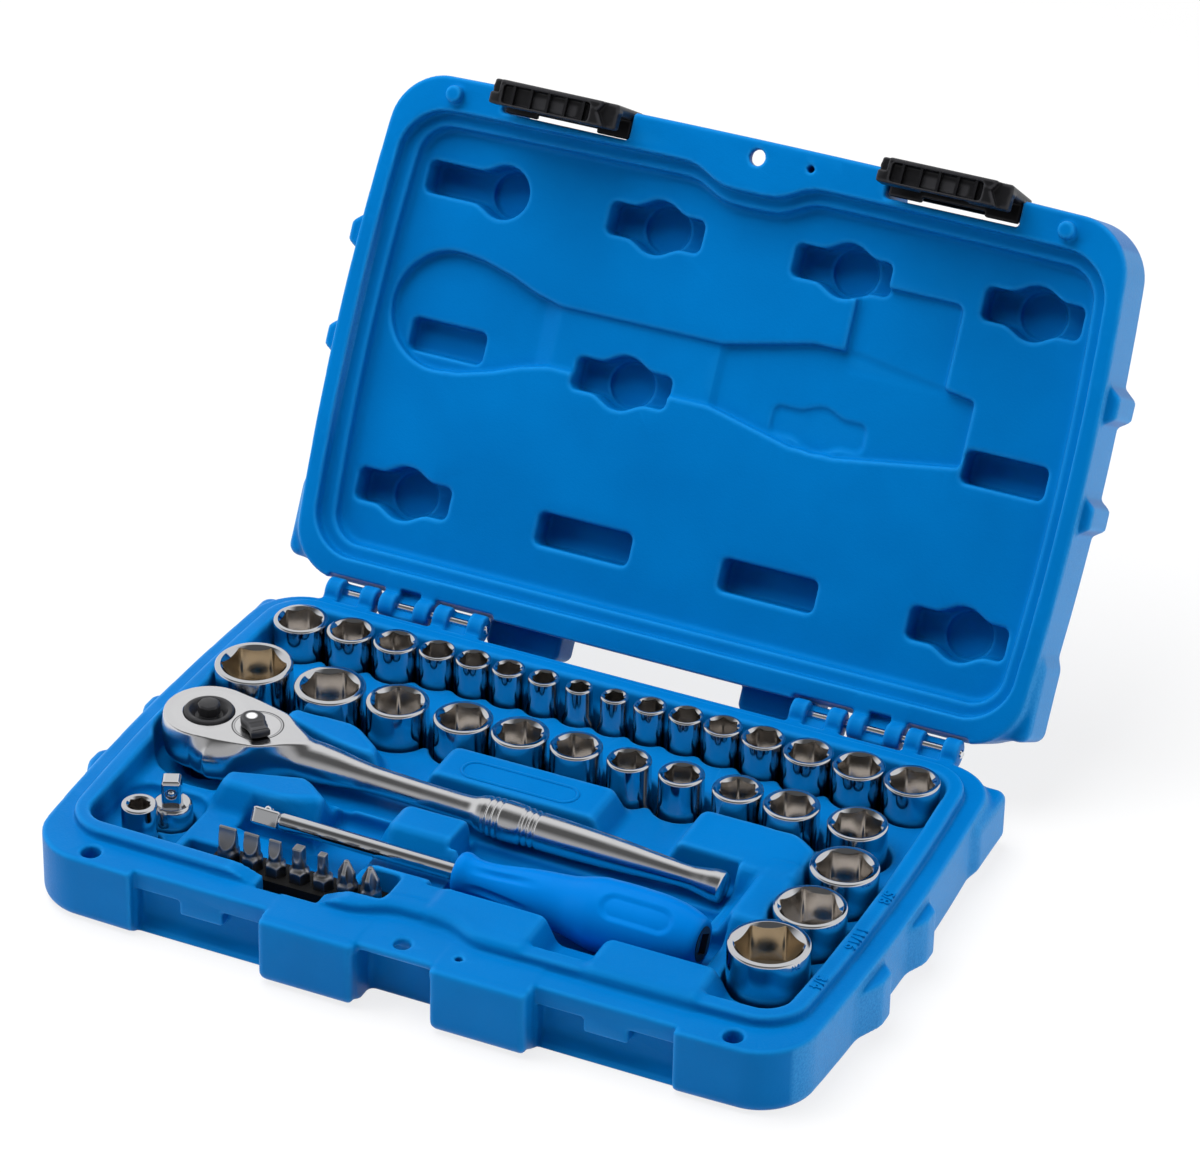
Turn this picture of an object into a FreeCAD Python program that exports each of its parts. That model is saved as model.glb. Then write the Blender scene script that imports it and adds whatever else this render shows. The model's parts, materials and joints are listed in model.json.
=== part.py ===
import FreeCAD, Part
import math
import os
import re

# A socket wrench set in its hinged case. Millimetres, +Z up, +X to the right along the hinge, +Y towards
# the hinge. The origin is the middle of the case's underside. Sizes called from_hinge run forwards from the
# hinge line, and sizes called above_rim run upwards from the parting plane.

# Driving dimensions
SIZES = {
    "base_height": 23.5, "lid_depth": 27.0, "hinge_y": 93.5, "open_angle": 120.2,
    "case_half_width": 131.0, "side_bulge": 4.0, "case_front": 178.3, "front_bulge": 2.0,
    "base_back": 6.0, "lid_back": 3.5, "corner_radius": 17.0, "edge_round": 4.0, "cut_past": 1.0,
    "rib_stand": 8.0, "rib_radius": 7.0, "rib_margin": 3.0, "rib_rear": 84.0, "rib_front": 120.5,
    "bumper_from": 8.0, "bumper_to": 36.0, "bumper_stand": 4.5,
    "front_block_inner": 13.0, "front_block_stand": 5.2, "finger_deep": 7.5, "flange": 2.6,
    "foot_inner": 33.0, "foot_outer": 60.0, "foot_reach": 6.0, "foot_play": 0.15, "foot_root": 9.0,
    "foot_lift": 1.0,
    "lip_height": 3.5, "lip_inset": 6.0, "lip_bulge": 3.2, "lip_setback": 12.3, "lip_front_bulge": 1.5,
    "lip_back": 12.5, "lip_corner": 14.0, "lip_band": 5.0, "lip_play": 0.8, "block_height": 4.5,
    "tray_deep": 4.7, "well_deep": 9.0, "shank_room_deep": 12.0,
    "panel_play": 1.8, "panel_inset": 4.0, "pit_depth": 6.0, "pit_wide": 11.0, "pit_round": 9.0,
    "recess_play": 0.7,
    "hinge_centre": 85.7, "knuckle_pitch": 20.3, "knuckle_long": 18.6, "knuckle_radius": 4.5,
    "knuckle_play": 0.7, "knuckle_web": 10.0, "hinge_pin_radius": 1.5, "pin_play": 0.05,
    "boss_inset": 21.0, "boss_setback": 5.3, "boss_radius": 2.9, "boss_long": 4.0, "boss_play": 0.3,
    "hang_setback": 4.0, "hang_radius": 2.8, "hang_land": 10.5, "vent_x": 19.2, "vent_radius": 1.2,
    "latch_x": 69.5, "latch_wide": 45.4, "latch_side_play": 0.8, "latch_room_deep": 7.8,
    "latch_pivot_in": 2.8, "latch_pivot_high": 11.0, "latch_barrel": 3.2, "latch_pin_radius": 1.2,
    "latch_plate": 3.6, "latch_gap": 0.7, "latch_drop": 15.0, "left_latch_rest": 1.0, "right_latch_rest": 6.5,
    "hook_bite": 4.3, "hook_play": 1.0, "latch_ear": 4.4, "latch_lug": 9.2, "latch_wall": 1.6,
    "latch_hollow": 5.0, "latch_ribs": 5, "latch_rib": 1.2, "latch_rib_lead": 0.6,
    "shelf_low": 2.0, "shelf_high": 2.2, "shelf_play": 0.4, "shelf_slot": 22.0, "shelf_slot_deep": 2.8,
    "band_in": 2.0, "band_high": 7.0, "band_depth": 5.0, "band_room": 11.0, "tab_wide": 15.0,
    "tab_drop": 5.0,
    "socket_floor": 4.5, "pocket_play": 1.2, "socket_bevel": 0.7, "hex_deep": 11.0, "bore_share": 0.4,
    "quarter_square": 6.35, "quarter_end": 11.2, "quarter_long": 25.5, "quarter_start": -110.2,
    "quarter_back": 21.5, "quarter_gap": 1.63,
    "eighths_square": 9.525, "eighths_end": 17.0, "eighths_long": 26.5, "eighths_start": -109.3,
    "eighths_back": 52.2, "long_extra": 1.5, "square_play": 0.12, "drive_deep": 8.5, "end_high": 9.0,
    "shoulder": 2.5,
    "bit_flats": 6.35, "bit_play": 0.12, "bit_hex_long": 17.0, "bit_long": 25.0, "bit_pitch": 8.35,
    "bit_start": -72.0, "bit_from_hinge": 152.5, "blade": 1.2, "bar_share": 0.7,
    "strip_wide": 11.0, "strip_high": 15.0, "strip_floor": 2.0, "strip_end": 5.5, "strip_play": 0.5,
    "gap_from": 12.0, "gap_to": 40.5, "gap_reach": 0.8,
    "holder_inset": 25.1, "holder_from_hinge": 149.1, "holder_radius": 5.75, "holder_long": 24.0,
    "adapter_inset": 28.8, "adapter_from_hinge": 134.4, "adapter_radius": 6.6, "adapter_long": 17.0,
    "adapter_male": 9.0, "adapter_yaw": -66.0, "ball_radius": 1.4, "ball_show": 0.5,
    "ratchet_x": -108.3, "ratchet_from_hinge": 98.2, "ratchet_high": 2.5, "ratchet_yaw": -1.2,
    "ratchet_pitch": 1.1,
    "head_radius": 15.6, "head_wide": 17.0, "head_step": 7.5, "head_top": 7.3, "head_bottom": 7.5,
    "head_flat": 33.5, "head_tail": 1.2, "head_bend": 23.3, "bend_half": 11.2,
    "roof": 1.2, "neck_from": 27.0, "neck_root": 6.9, "neck_to": 62.0,
    "neck_radius": 4.4, "grip_from": 98.0, "grip_radius": 6.1, "grip_to": 134.0, "waist_back": 11.0,
    "waist_radius": 4.1, "grip_end": 183.0, "end_radius": 5.2, "end_flat": 4.0,
    "gear_radius": 11.4, "gear_high": 8.0, "gear_teeth": 36, "tooth_high": 0.9, "gear_play": 0.25,
    "hub_radius": 8.6, "hub_play": 0.15, "hub_proud": 0.6, "square_long": 11.0, "plate_high": 1.6,
    "plate_lap": 1.2, "anvil_hub": 7.6,
    "lever_step": 18.2, "lever_rest": 43.0, "lever_shaft": 2.8, "lever_sunk": 4.0, "lever_knob": 4.6,
    "lever_high": 3.0, "lever_long": 10.5, "lever_wide": 6.0, "lever_gap": 0.3, "pawl_gap": 0.6,
    "pawl_back": 3.5,
    "pawl_floor": 1.6, "button_radius": 3.8, "button_high": 1.2, "button_travel": 1.2, "stem_radius": 1.7,
    "stem_play": 0.05, "spring_radius": 2.9, "spring_play": 0.2, "spring_high": 4.5,
    "ratchet_room": 2.0, "rest_play": 0.2, "anvil_room": 1.5, "grip_room": 16.0, "grip_room_depth": 12.0,
    "spinner_x": -74.0, "spinner_from_hinge": 131.6, "spinner_high": 0.0, "spinner_yaw": -0.9, "spinner_roll": 30.0,
    "spinner_square_long": 9.0, "shank_radius": 2.8, "spinner_neck": 71.0, "shank_hold": 24.0,
    "collar_radius": 7.2, "collar_long": 5.0, "spinner_waist": 6.0, "waist_at": 11.0, "flank_radius": 8.3,
    "flank_at": 29.0, "shoulder_radius": 9.5, "shoulder_at": 41.0, "swell_radius": 11.8, "swell_from": 50.0,
    "swell_to": 72.0, "spinner_end_radius": 8.4, "spinner_grip": 86.0, "insert_radius": 5.6,
    "insert_long": 11.0, "spinner_room": 1.6,
}

# Outside diameter and width of the hexagon of each socket, from left to right in the rear row
QUARTER_SOCKETS = (
    (17.6, 12.7), (15.5, 11.1), (14.5, 10.0), (11.8, 8.7), (11.3, 8.0), (10.5, 7.1), (9.8, 6.4), (8.4, 5.6),
    (8.7, 5.6), (10.4, 7.0), (10.9, 7.9), (12.2, 8.7), (13.6, 10.0), (15.8, 11.1), (16.4, 12.0), (17.6, 12.7),
)

# The second row from left to right, with the gap to the socket before, then down the right side, where each
# socket also steps sideways from the one before
EIGHTHS_ROW = (
    (26.0, 19.0, 0.0), (23.8, 17.0, 2.6), (20.9, 15.0, 1.75), (19.6, 14.0, 3.25), (19.1, 13.0, 1.0),
    (17.3, 12.0, 1.45), (14.7, 10.0, 1.55), (15.1, 10.0, 1.4), (16.7, 11.1, 2.6), (18.4, 12.7, 1.2),
    (19.5, 14.3, 3.95),
)
EIGHTHS_COLUMN = ((22.2, 15.9, 2.75, 5.3), (23.3, 17.5, 2.15, -1.1), (26.0, 19.05, 1.0, -2.9))
LONG_SOCKETS = ("three_eighths_socket_01", "three_eighths_socket_14")

# Support blocks on the tray: left and right edges, then rear and front edges from the hinge
BLOCKS = {
    "head_block": (-88.0, -53.0, 77.0, 89.0), "plate_block": (-31.0, 26.0, 74.0, 95.5),
    "corner_block": (56.0, 94.0, 73.5, 95.5), "side_block": (86.0, 94.0, 90.0, 120.5),
    "tip_block": (-89.0, -52.0, 111.0, 133.0), "shank_block": (-34.0, 5.0, 110.0, 135.0),
    "collar_block": (-28.0, 35.0, 143.0, 163.0), "end_block": (59.0, 93.0, 150.0, 165.0),
}

# Rooms sunk in the tray floor, with the same four edges: round the bit holder and under the spinner's shank
ROOMS = {"well": (-118.0, -92.5, 124.0, 156.0), "shank_room": (-52.0, -34.0, 120.0, 147.0)}

# Pits in the lid's panel: left and right ends, distance from the hinge and, where a round widens the pit,
# the middle of that round
PITS = {
    "pit_one": (-118.9, -83.9, 37.0, -100.9), "pit_two": (-50.9, -16.4, 37.0, None),
    "pit_three": (16.6, 51.1, 37.0, None), "pit_four": (84.1, 118.6, 37.0, 102.6),
    "pit_five": (-113.9, -85.9, 91.0, None), "pit_six": (-50.9, -15.9, 91.0, -32.9),
    "pit_seven": (90.1, 119.1, 91.0, None), "pit_eight": (-118.9, -93.0, 144.5, -89.9),
    "pit_nine": (-50.9, -16.4, 144.5, -32.9), "pit_ten": (16.6, 51.1, 144.5, 35.6),
    "pit_eleven": (84.1, 118.6, 144.5, 102.1),
}

# Widths of the bits' tips
BITS = {
    "slotted_bit_large": 6.0, "slotted_bit_medium": 5.2, "slotted_bit_small": 4.2, "square_bit_large": 4.2,
    "square_bit_small": 3.2, "cross_bit_large": 6.0, "cross_bit_small": 4.6,
}

for index, (outside, hexagon) in enumerate(QUARTER_SOCKETS):
    SIZES[f"quarter_socket_{index + 1:02d}_outside"] = outside
    SIZES[f"quarter_socket_{index + 1:02d}_hexagon"] = hexagon
for index, row in enumerate(EIGHTHS_ROW + EIGHTHS_COLUMN):
    name = f"three_eighths_socket_{index + 1:02d}"
    for word, value in zip(("outside", "hexagon", "gap", "step"), row):
        SIZES[f"{name}_{word}"] = value
for name, edges in {**BLOCKS, **ROOMS}.items():
    for word, value in zip(("left", "right", "rear", "front"), edges):
        SIZES[f"{name}_{word}"] = value
for name, row in PITS.items():
    for word, value in zip(("left", "right", "from_hinge", "bulge"), row):
        if value is not None:
            SIZES[f"{name}_{word}"] = value
for name, width in BITS.items():
    SIZES[f"{name}_tip"] = width

doc = FreeCAD.newDocument("socket_set")
sheet = doc.addObject("Spreadsheet::Sheet", "Sizes")
for row, (alias, value) in enumerate(SIZES.items(), start=1):
    sheet.set(f"A{row}", alias)
    sheet.set(f"B{row}", str(value))
    sheet.setAlias(f"B{row}", alias)
doc.recompute()
size = {alias: float(sheet.get(alias)) for alias in SIZES}

nodes = []
V = FreeCAD.Vector
WORD = re.compile(r"[a-z][a-z0-9_]*")
ALONG_X = FreeCAD.Rotation(V(0, 1, 0), 90)

# Places that follow from the driving dimensions
RIM = "base_height"
UPWARDS = "(base_height + lid_depth)"
RIB_REACH = "(case_half_width + rib_stand)"
BUMPER_REACH = "(case_half_width + bumper_stand)"
BLOCK_REACH = "(case_front + front_block_stand)"
LIP_FRONT = "(case_front - lip_setback)"
BOSS_X = "(case_half_width - boss_inset)"
BOSS_BACK = "(case_front - boss_setback)"
HANG_BACK = "(case_front - hang_setback)"
LATCH_PIVOT = "(case_front - latch_pivot_in)"
LATCH_ROOM = "(case_front - latch_room_deep)"
BAND_FACE = "(case_front - band_in)"
CATCH_HALF = "(latch_wide / 2 + latch_side_play)"
CATCH_UNDER = "(base_height - band_high)"
HOLDER_X = "(holder_inset - case_half_width)"
ADAPTER_X = "(adapter_inset - case_half_width)"
WAIST = "(grip_end - waist_back)"
FOOT_DROP = "(foot_reach * tan(open_angle / 2 * 1deg) + foot_play)"
PANEL = "(socket_floor + eighths_long + long_extra - base_height + panel_play)"
TOOL_TOP = "(head_top + lever_gap + lever_high + recess_play)"
PAWL = "(lever_step - gear_radius - pawl_gap)"


def bind(obj, prop, text):
    """Bind a property to an expression written in the sheet's own words."""
    words = WORD.sub(lambda w: "Sizes." + w.group() if w.group() in size else w.group(), text)
    obj.setExpression(prop, words)


def place(obj, x="0", y="0", z="0", turn=FreeCAD.Rotation()):
    obj.Placement = FreeCAD.Placement(V(), turn)
    for axis, text in zip("xyz", (x, y, z)):
        if text != "0":
            bind(obj, "Placement.Base." + axis, text)
    return obj


def box(name, length, width, height, x, y, z):
    """A block given by its sides and its lowest corner."""
    obj = doc.addObject("Part::Box", name)
    for prop, text in zip(("Length", "Width", "Height"), (length, width, height)):
        bind(obj, prop, text)
    return place(obj, x, y, z)


def span(name, left, right, rear, front, low, high):
    """A block given by its edges, the rear and front ones measured from the hinge."""
    return box(name, f"{right} - ({left})", f"{front} - ({rear})", f"{high} - ({low})",
               left, f"hinge_y - ({front})", low)


def cylinder(name, radius, height, x="0", y="0", z="0", turn=FreeCAD.Rotation()):
    obj = doc.addObject("Part::Cylinder", name)
    bind(obj, "Radius", radius)
    bind(obj, "Height", height)
    return place(obj, x, y, z, turn)


def cone(name, low, high, height, x="0", y="0", z="0", turn=FreeCAD.Rotation()):
    obj = doc.addObject("Part::Cone", name)
    bind(obj, "Radius1", low)
    bind(obj, "Radius2", high)
    bind(obj, "Height", height)
    return place(obj, x, y, z, turn)


def ball(name, radius, x, y, z):
    obj = doc.addObject("Part::Sphere", name)
    bind(obj, "Radius", radius)
    return place(obj, x, y, z)


def hexagon(name, flats, height, x="0", y="0", z="0"):
    obj = doc.addObject("Part::Prism", name)
    obj.Polygon = 6
    bind(obj, "Circumradius", f"({flats}) / sqrt(3)")
    bind(obj, "Height", height)
    return place(obj, x, y, z)


def square(name, side, height, z="0"):
    """An upright square bar on the Z axis."""
    return box(name, side, side, height, f"-({side}) / 2", f"-({side}) / 2", z)


def fuse(name, pieces):
    obj = doc.addObject("Part::MultiFuse", name)
    obj.Shapes = pieces
    obj.Refine = True
    return obj


def cut(name, body, tools):
    obj = doc.addObject("Part::Cut", name)
    obj.Base = body
    obj.Tool = tools[0] if len(tools) == 1 else fuse(name + "_tools", tools)
    return obj


def common(name, first, second):
    obj = doc.addObject("Part::MultiCommon", name)
    obj.Shapes = [first, second]
    return obj


def seated(group, *spot):
    """A place within a group of pieces that are laid together."""
    return group.multiply(FreeCAD.Placement(V(*spot), FreeCAD.Rotation()))


def detent(name, placement):
    """A detent ball in its seat."""
    obj = doc.addObject("Part::Sphere", name + "_round")
    bind(obj, "Radius", "ball_radius")
    node(obj, name, placement)


def node(obj, name, placement=None):
    """Name a finished sub-part and put it in its place."""
    obj.Label = name
    if placement:
        obj.Placement = placement
    nodes.append(obj)
    return obj


def slab(name, edges, height, z="0"):
    """A flat piece with the outline that the edges draw."""
    sketch = doc.addObject("Sketcher::SketchObject", name + "_outline")
    sketch.addGeometry(edges)
    place(sketch, z=z)
    pad = doc.addObject("Part::Extrusion", name)
    pad.Base = sketch
    pad.DirMode = "Normal"
    pad.Solid = True
    bind(pad, "LengthFwd", height)
    return pad


def polygon(points):
    ends = points[1:] + points[:1]
    return [Part.LineSegment(V(*a, 0), V(*b, 0)) for a, b in zip(points, ends)]


def bowed_outline(half, bulge, front, front_bulge, back):
    """The case's plan: a straight rear edge, bowed sides and a bowed front."""
    rear_y = size["hinge_y"] - back
    front_y = size["hinge_y"] - front
    middle_y = (rear_y + front_y) / 2
    rear_left, rear_right = V(-half, rear_y, 0), V(half, rear_y, 0)
    front_left, front_right = V(-half, front_y, 0), V(half, front_y, 0)
    return [
        Part.LineSegment(rear_left, rear_right),
        Part.Arc(rear_right, V(half + bulge, middle_y, 0), front_right),
        Part.Arc(front_right, V(0, front_y - front_bulge, 0), front_left),
        Part.Arc(front_left, V(-half - bulge, middle_y, 0), rear_left),
    ]


def rounded(name, solid, radius, chosen):
    """Round the chosen edges of a solid."""
    doc.recompute()
    obj = doc.addObject("Part::Fillet", name)
    obj.Base = solid
    obj.Edges = [(i + 1, radius, radius) for i, edge in enumerate(solid.Shape.Edges) if chosen(edge)]
    return obj


def upright(edge):
    return abs(edge.tangentAt(edge.FirstParameter).z) > 0.99


def at_level(level):
    return lambda edge: all(abs(vertex.Z - level) < 0.01 for vertex in edge.Vertexes)


def case_plan(name, back, height, z):
    edges = bowed_outline(size["case_half_width"], size["side_bulge"], size["case_front"],
                          size["front_bulge"], back)
    return rounded(name + "_corners", slab(name, edges, height, z), size["corner_radius"], upright)


def lip_plan(name, grow, height, z):
    """The plan of the lip round the tray, made larger all round by grow."""
    half = size["case_half_width"] - size["lip_inset"] + grow
    front = size["case_front"] - size["lip_setback"] + grow
    edges = bowed_outline(half, size["lip_bulge"], front, size["lip_front_bulge"], size["lip_back"] - grow)
    return rounded(name + "_corners", slab(name, edges, height, z), size["lip_corner"] + grow, upright)


def both_sides(make):
    """Make a piece on the right, then on the left."""
    return [make("right", 1), make("left", -1)]


def mirrored_x(sign, near, far):
    """The left edge of something that lies between two distances from the centre line."""
    return near if sign > 0 else f"-({far})"


def side_bumpers(name, low, high):
    """Upright ribs and rear bumpers on both ends of a case half."""
    def side(hand, sign):
        across = f"{sign} * ({RIB_REACH} - rib_radius)"
        tall = f"{high} - ({low})"
        ribs = [cylinder(f"{name}_{rib}_{hand}", "rib_radius", tall, across, f"hinge_y - {rib}", low)
                for rib in ("rib_rear", "rib_front")]
        left = mirrored_x(sign, "case_half_width - rib_radius", BUMPER_REACH)
        right = mirrored_x(sign, BUMPER_REACH, "case_half_width - rib_radius")
        ribs.append(span(f"{name}_bumper_{hand}", left, right, "bumper_from", "bumper_to", low, high))
        return ribs
    return sum(both_sides(side), [])


def knuckle(name, sign, slot, bore):
    """One hinge knuckle as an upright tube turned along X, with its bore."""
    start = f"{sign} * (hinge_centre + {slot} * knuckle_pitch) - knuckle_long / 2"
    tube = cylinder(name, "knuckle_radius", "knuckle_long", start, "hinge_y", RIM, ALONG_X)
    hole = cylinder(name + "_bore", bore, "knuckle_long", start, "hinge_y", RIM, ALONG_X)
    return start, tube, hole


def hinge_room(name, sign):
    """The clear space round a group of knuckles."""
    length = "3 * knuckle_pitch"
    return cylinder(name, "knuckle_radius + knuckle_play", length,
                    f"{sign} * hinge_centre - ({length}) / 2", "hinge_y", RIM, ALONG_X)


# Sockets
socket_places = {}


def socket(name, drive, length):
    """A socket standing on its square end, with a bevelled hexagon mouth at the top."""
    outside, hex_flats = f"{name}_outside", f"{name}_hexagon"
    end = f"{drive}_end"
    pieces = [cylinder(name + "_barrel", f"{outside} / 2", f"{length} - socket_bevel")]
    pieces.append(cone(name + "_rim", f"{outside} / 2", f"{outside} / 2 - socket_bevel", "socket_bevel",
                       z=f"{length} - socket_bevel"))
    if size[outside] < size[end]:
        pieces.append(cylinder(name + "_root", f"{end} / 2", "end_high"))
        pieces.append(cone(name + "_shoulder", f"{end} / 2", f"{outside} / 2", "shoulder", z="end_high"))
    tools = [
        hexagon(name + "_mouth", hex_flats, "hex_deep", z=f"{length} - hex_deep"),
        cone(name + "_bevel", f"{hex_flats} / 2", f"{hex_flats} / sqrt(3) + square_play", "2 * socket_bevel",
             z=f"{length} - 2 * socket_bevel"),
        square(name + "_drive", f"{drive}_square + 2 * square_play", "drive_deep"),
        cylinder(name + "_bore", f"bore_share * min({drive}_square; {hex_flats})", length),
    ]
    return cut(name, fuse(name + "_blank", pieces), tools)


def stand_socket(name, drive, x, y):
    length = f"{drive}_long"
    if name in LONG_SOCKETS:
        length = f"({drive}_long + long_extra)"
    obj = socket(name, drive, length)
    place(obj, x, y, "socket_floor")
    socket_places[name] = (x, y, width_of(name, drive))
    node(obj, name)


def width_of(name, drive):
    return f"max({name}_outside; {drive}_end)"


def socket_row(names, drive, start, back, gap):
    """Stand a row of sockets side by side with their rear edges in line."""
    x = start
    for before, name in zip([None] + names[:-1], names):
        if before:
            x = f"{x} + ({width_of(before, drive)} + {width_of(name, drive)}) / 2 + {gap(name)}"
        stand_socket(name, drive, x, f"hinge_y - {back} - {width_of(name, drive)} / 2")


quarter_names = [f"quarter_socket_{i + 1:02d}" for i in range(len(QUARTER_SOCKETS))]
eighths_names = [f"three_eighths_socket_{i + 1:02d}" for i in range(len(EIGHTHS_ROW) + len(EIGHTHS_COLUMN))]
row_names = eighths_names[:len(EIGHTHS_ROW)]
socket_row(quarter_names, "quarter", "quarter_start", "quarter_back", lambda name: "quarter_gap")
socket_row(row_names, "eighths", "eighths_start", "eighths_back", lambda name: f"{name}_gap")
for before, name in zip(eighths_names[len(EIGHTHS_ROW) - 1:], eighths_names[len(EIGHTHS_ROW):]):
    before_x, before_y, before_width = socket_places[before]
    stand_socket(name, "eighths", f"{before_x} + ({name}_step)",
                 f"{before_y} - ({before_width} + {width_of(name, 'eighths')}) / 2 - {name}_gap")


# Bits, their strip, the bit holder and the drive adapter
def bit(name):
    tip = f"{name}_tip"
    shank = hexagon(name + "_shank", "bit_flats", "bit_hex_long")
    neck = cone(name + "_neck", "bit_flats / 2", f"{tip} / 2", "shoulder", z="bit_hex_long")
    tip_from = "bit_hex_long + shoulder"
    tip_long = f"bit_long - ({tip_from})"
    if name.startswith("slotted"):
        point = box(name + "_blade", tip, "blade", tip_long, f"-{tip} / 2", "-blade / 2", tip_from)
    elif name.startswith("square"):
        point = square(name + "_bar", f"bar_share * {tip}", tip_long, tip_from)
    else:
        wings = [box(name + "_wing_x", tip, "blade", tip_long, f"-{tip} / 2", "-blade / 2", tip_from),
                 box(name + "_wing_y", "blade", tip, tip_long, "-blade / 2", f"-{tip} / 2", tip_from)]
        taper = cone(name + "_point", f"{tip} / 2", "blade / 2", tip_long, z=tip_from)
        point = common(name + "_cross", taper, fuse(name + "_wings", wings))
    return fuse(name, [shank, neck, point])


strip_floor = "socket_floor + strip_floor"
strip_holes = []
for place_in_row, name in enumerate(BITS):
    bit_x = f"bit_start + {place_in_row} * bit_pitch"
    piece = bit(name)
    place(piece, bit_x, "hinge_y - bit_from_hinge", strip_floor)
    node(piece, name)
    strip_holes.append(hexagon(name + "_hole", "bit_flats + 2 * bit_play", UPWARDS, bit_x,
                               "hinge_y - bit_from_hinge", strip_floor))
strip_left = "bit_start - strip_end"
strip_right = f"bit_start + {len(BITS) - 1} * bit_pitch + strip_end"
strip_rear = "bit_from_hinge - strip_wide / 2"
strip_front = "bit_from_hinge + strip_wide / 2"
strip_block = span("strip_block", strip_left, strip_right, strip_rear, strip_front,
                   "socket_floor", "socket_floor + strip_high")
node(cut("strip", strip_block, strip_holes), "bit_strip")

holder = cut("holder", cylinder("holder_barrel", "holder_radius", "holder_long"), [
    hexagon("holder_mouth", "bit_flats + 2 * bit_play", "hex_deep", z="holder_long - hex_deep"),
    square("holder_drive", "quarter_square + 2 * square_play", "drive_deep"),
])
place(holder, HOLDER_X, "hinge_y - holder_from_hinge", "socket_floor")
node(holder, "bit_holder")

adapter_ball_x = "quarter_square / 2 - ball_radius + ball_show"
adapter_ball_z = "adapter_long + adapter_male / 2"
adapter_blank = fuse("adapter_blank", [
    cylinder("adapter_barrel", "adapter_radius", "adapter_long"),
    square("adapter_square", "quarter_square", "adapter_male", "adapter_long"),
])
adapter = cut("adapter", adapter_blank, [
    square("adapter_drive", "eighths_square + 2 * square_play", "drive_deep"),
    ball("adapter_seat", "ball_radius", adapter_ball_x, "0", adapter_ball_z),
])
place(adapter, ADAPTER_X, "hinge_y - adapter_from_hinge", "socket_floor",
      FreeCAD.Rotation(V(0, 0, 1), size["adapter_yaw"]))
node(adapter, "drive_adapter")
node(ball("adapter_detent", "ball_radius", f"{ADAPTER_X} + ({adapter_ball_x}) * cos(adapter_yaw * 1deg)",
          f"hinge_y - adapter_from_hinge + ({adapter_ball_x}) * sin(adapter_yaw * 1deg)",
          f"socket_floor + {adapter_ball_z}"), "adapter_ball")

# Ratchet, drawn about its drive axis with the handle along X, then laid in the tray
ratchet_base = V(size["ratchet_x"], size["hinge_y"] - size["ratchet_from_hinge"],
                 size["base_height"] + size["ratchet_high"])
ratchet_turn = FreeCAD.Rotation(size["ratchet_yaw"], size["ratchet_pitch"], 0)
ratchet_place = FreeCAD.Placement(ratchet_base, ratchet_turn)
ratchet_plan = FreeCAD.Placement(ratchet_base, FreeCAD.Rotation(size["ratchet_yaw"], 0, 0))
head_high = "head_top + head_bottom"
cavity_high = f"{head_high} - plate_high - roof"
gear_low = "-head_bottom + plate_high + gear_play"


def head_outline(grow):
    """The tail of the head, from its widest line past a bend to the point where its flat ends."""
    side = [(size["head_step"], size["head_wide"] + grow), (size["head_bend"], size["bend_half"] + grow),
            (size["head_flat"] + grow, size["head_tail"] + grow)]
    return polygon(side + [(along, -across) for along, across in reversed(side)])


def lathe(name, sections):
    """A turned bar along X from rows of start, end and the radius at each."""
    pieces = []
    for number, (start, end, first, last) in enumerate(sections):
        length = f"{end} - ({start})"
        piece_name = f"{name}_{number}"
        if first == last:
            pieces.append(cylinder(piece_name, first, length, start, turn=ALONG_X))
        else:
            pieces.append(cone(piece_name, first, last, length, start, turn=ALONG_X))
    return pieces


ratchet_grip = lathe("ratchet_grip", [
    ("neck_from", "neck_to", "neck_root", "neck_radius"),
    ("neck_to", "grip_from", "neck_radius", "neck_radius"),
    ("grip_from", "grip_from + end_flat", "neck_radius", "grip_radius"),
    ("grip_from + end_flat", "grip_to", "grip_radius", "grip_radius"),
    ("grip_to", WAIST, "grip_radius", "waist_radius"),
    (WAIST, "grip_end - end_flat", "waist_radius", "end_radius"),
    ("grip_end - end_flat", "grip_end", "end_radius", "end_radius"),
])
ratchet_blank = fuse("ratchet_blank", ratchet_grip + [
    cylinder("head_round", "head_radius", head_high, z="-head_bottom"),
    cylinder("head_widest", "head_wide", head_high, "head_step", z="-head_bottom"),
    slab("head_taper", head_outline(0), head_high, "-head_bottom"),
])
ratchet_body = cut("ratchet", ratchet_blank, [
    cylinder("gear_room", "gear_radius + 2 * gear_play", cavity_high, z="-head_bottom + plate_high"),
    cylinder("plate_room", "gear_radius + plate_lap", "plate_high", z="-head_bottom"),
    cylinder("hub_room", "hub_radius + hub_play", head_high, z="-head_bottom + plate_high"),
    cylinder("pawl_room", f"{PAWL} + pawl_gap", cavity_high, "lever_step", z="-head_bottom + plate_high"),
    cylinder("lever_bore", "lever_shaft + stem_play", head_high, "lever_step", z="-head_bottom + plate_high"),
])
node(ratchet_body, "ratchet_body", ratchet_place)

plate = cut("plate", cylinder("plate_disc", "gear_radius + plate_lap", "plate_high", z="-head_bottom"), [
    cylinder("plate_hole", "anvil_hub + hub_play", "plate_high", z="-head_bottom"),
])
node(plate, "ratchet_plate", ratchet_place)


def gear_outline():
    """Upright-sided ratchet teeth round the gear."""
    points = []
    teeth = int(size["gear_teeth"])
    for tooth in range(teeth):
        for share, radius in ((0.0, size["gear_radius"] - size["tooth_high"]), (0.5, size["gear_radius"])):
            angle = 2 * math.pi * (tooth + share) / teeth
            points.append((radius * math.cos(angle), radius * math.sin(angle)))
    return polygon(points)


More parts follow.
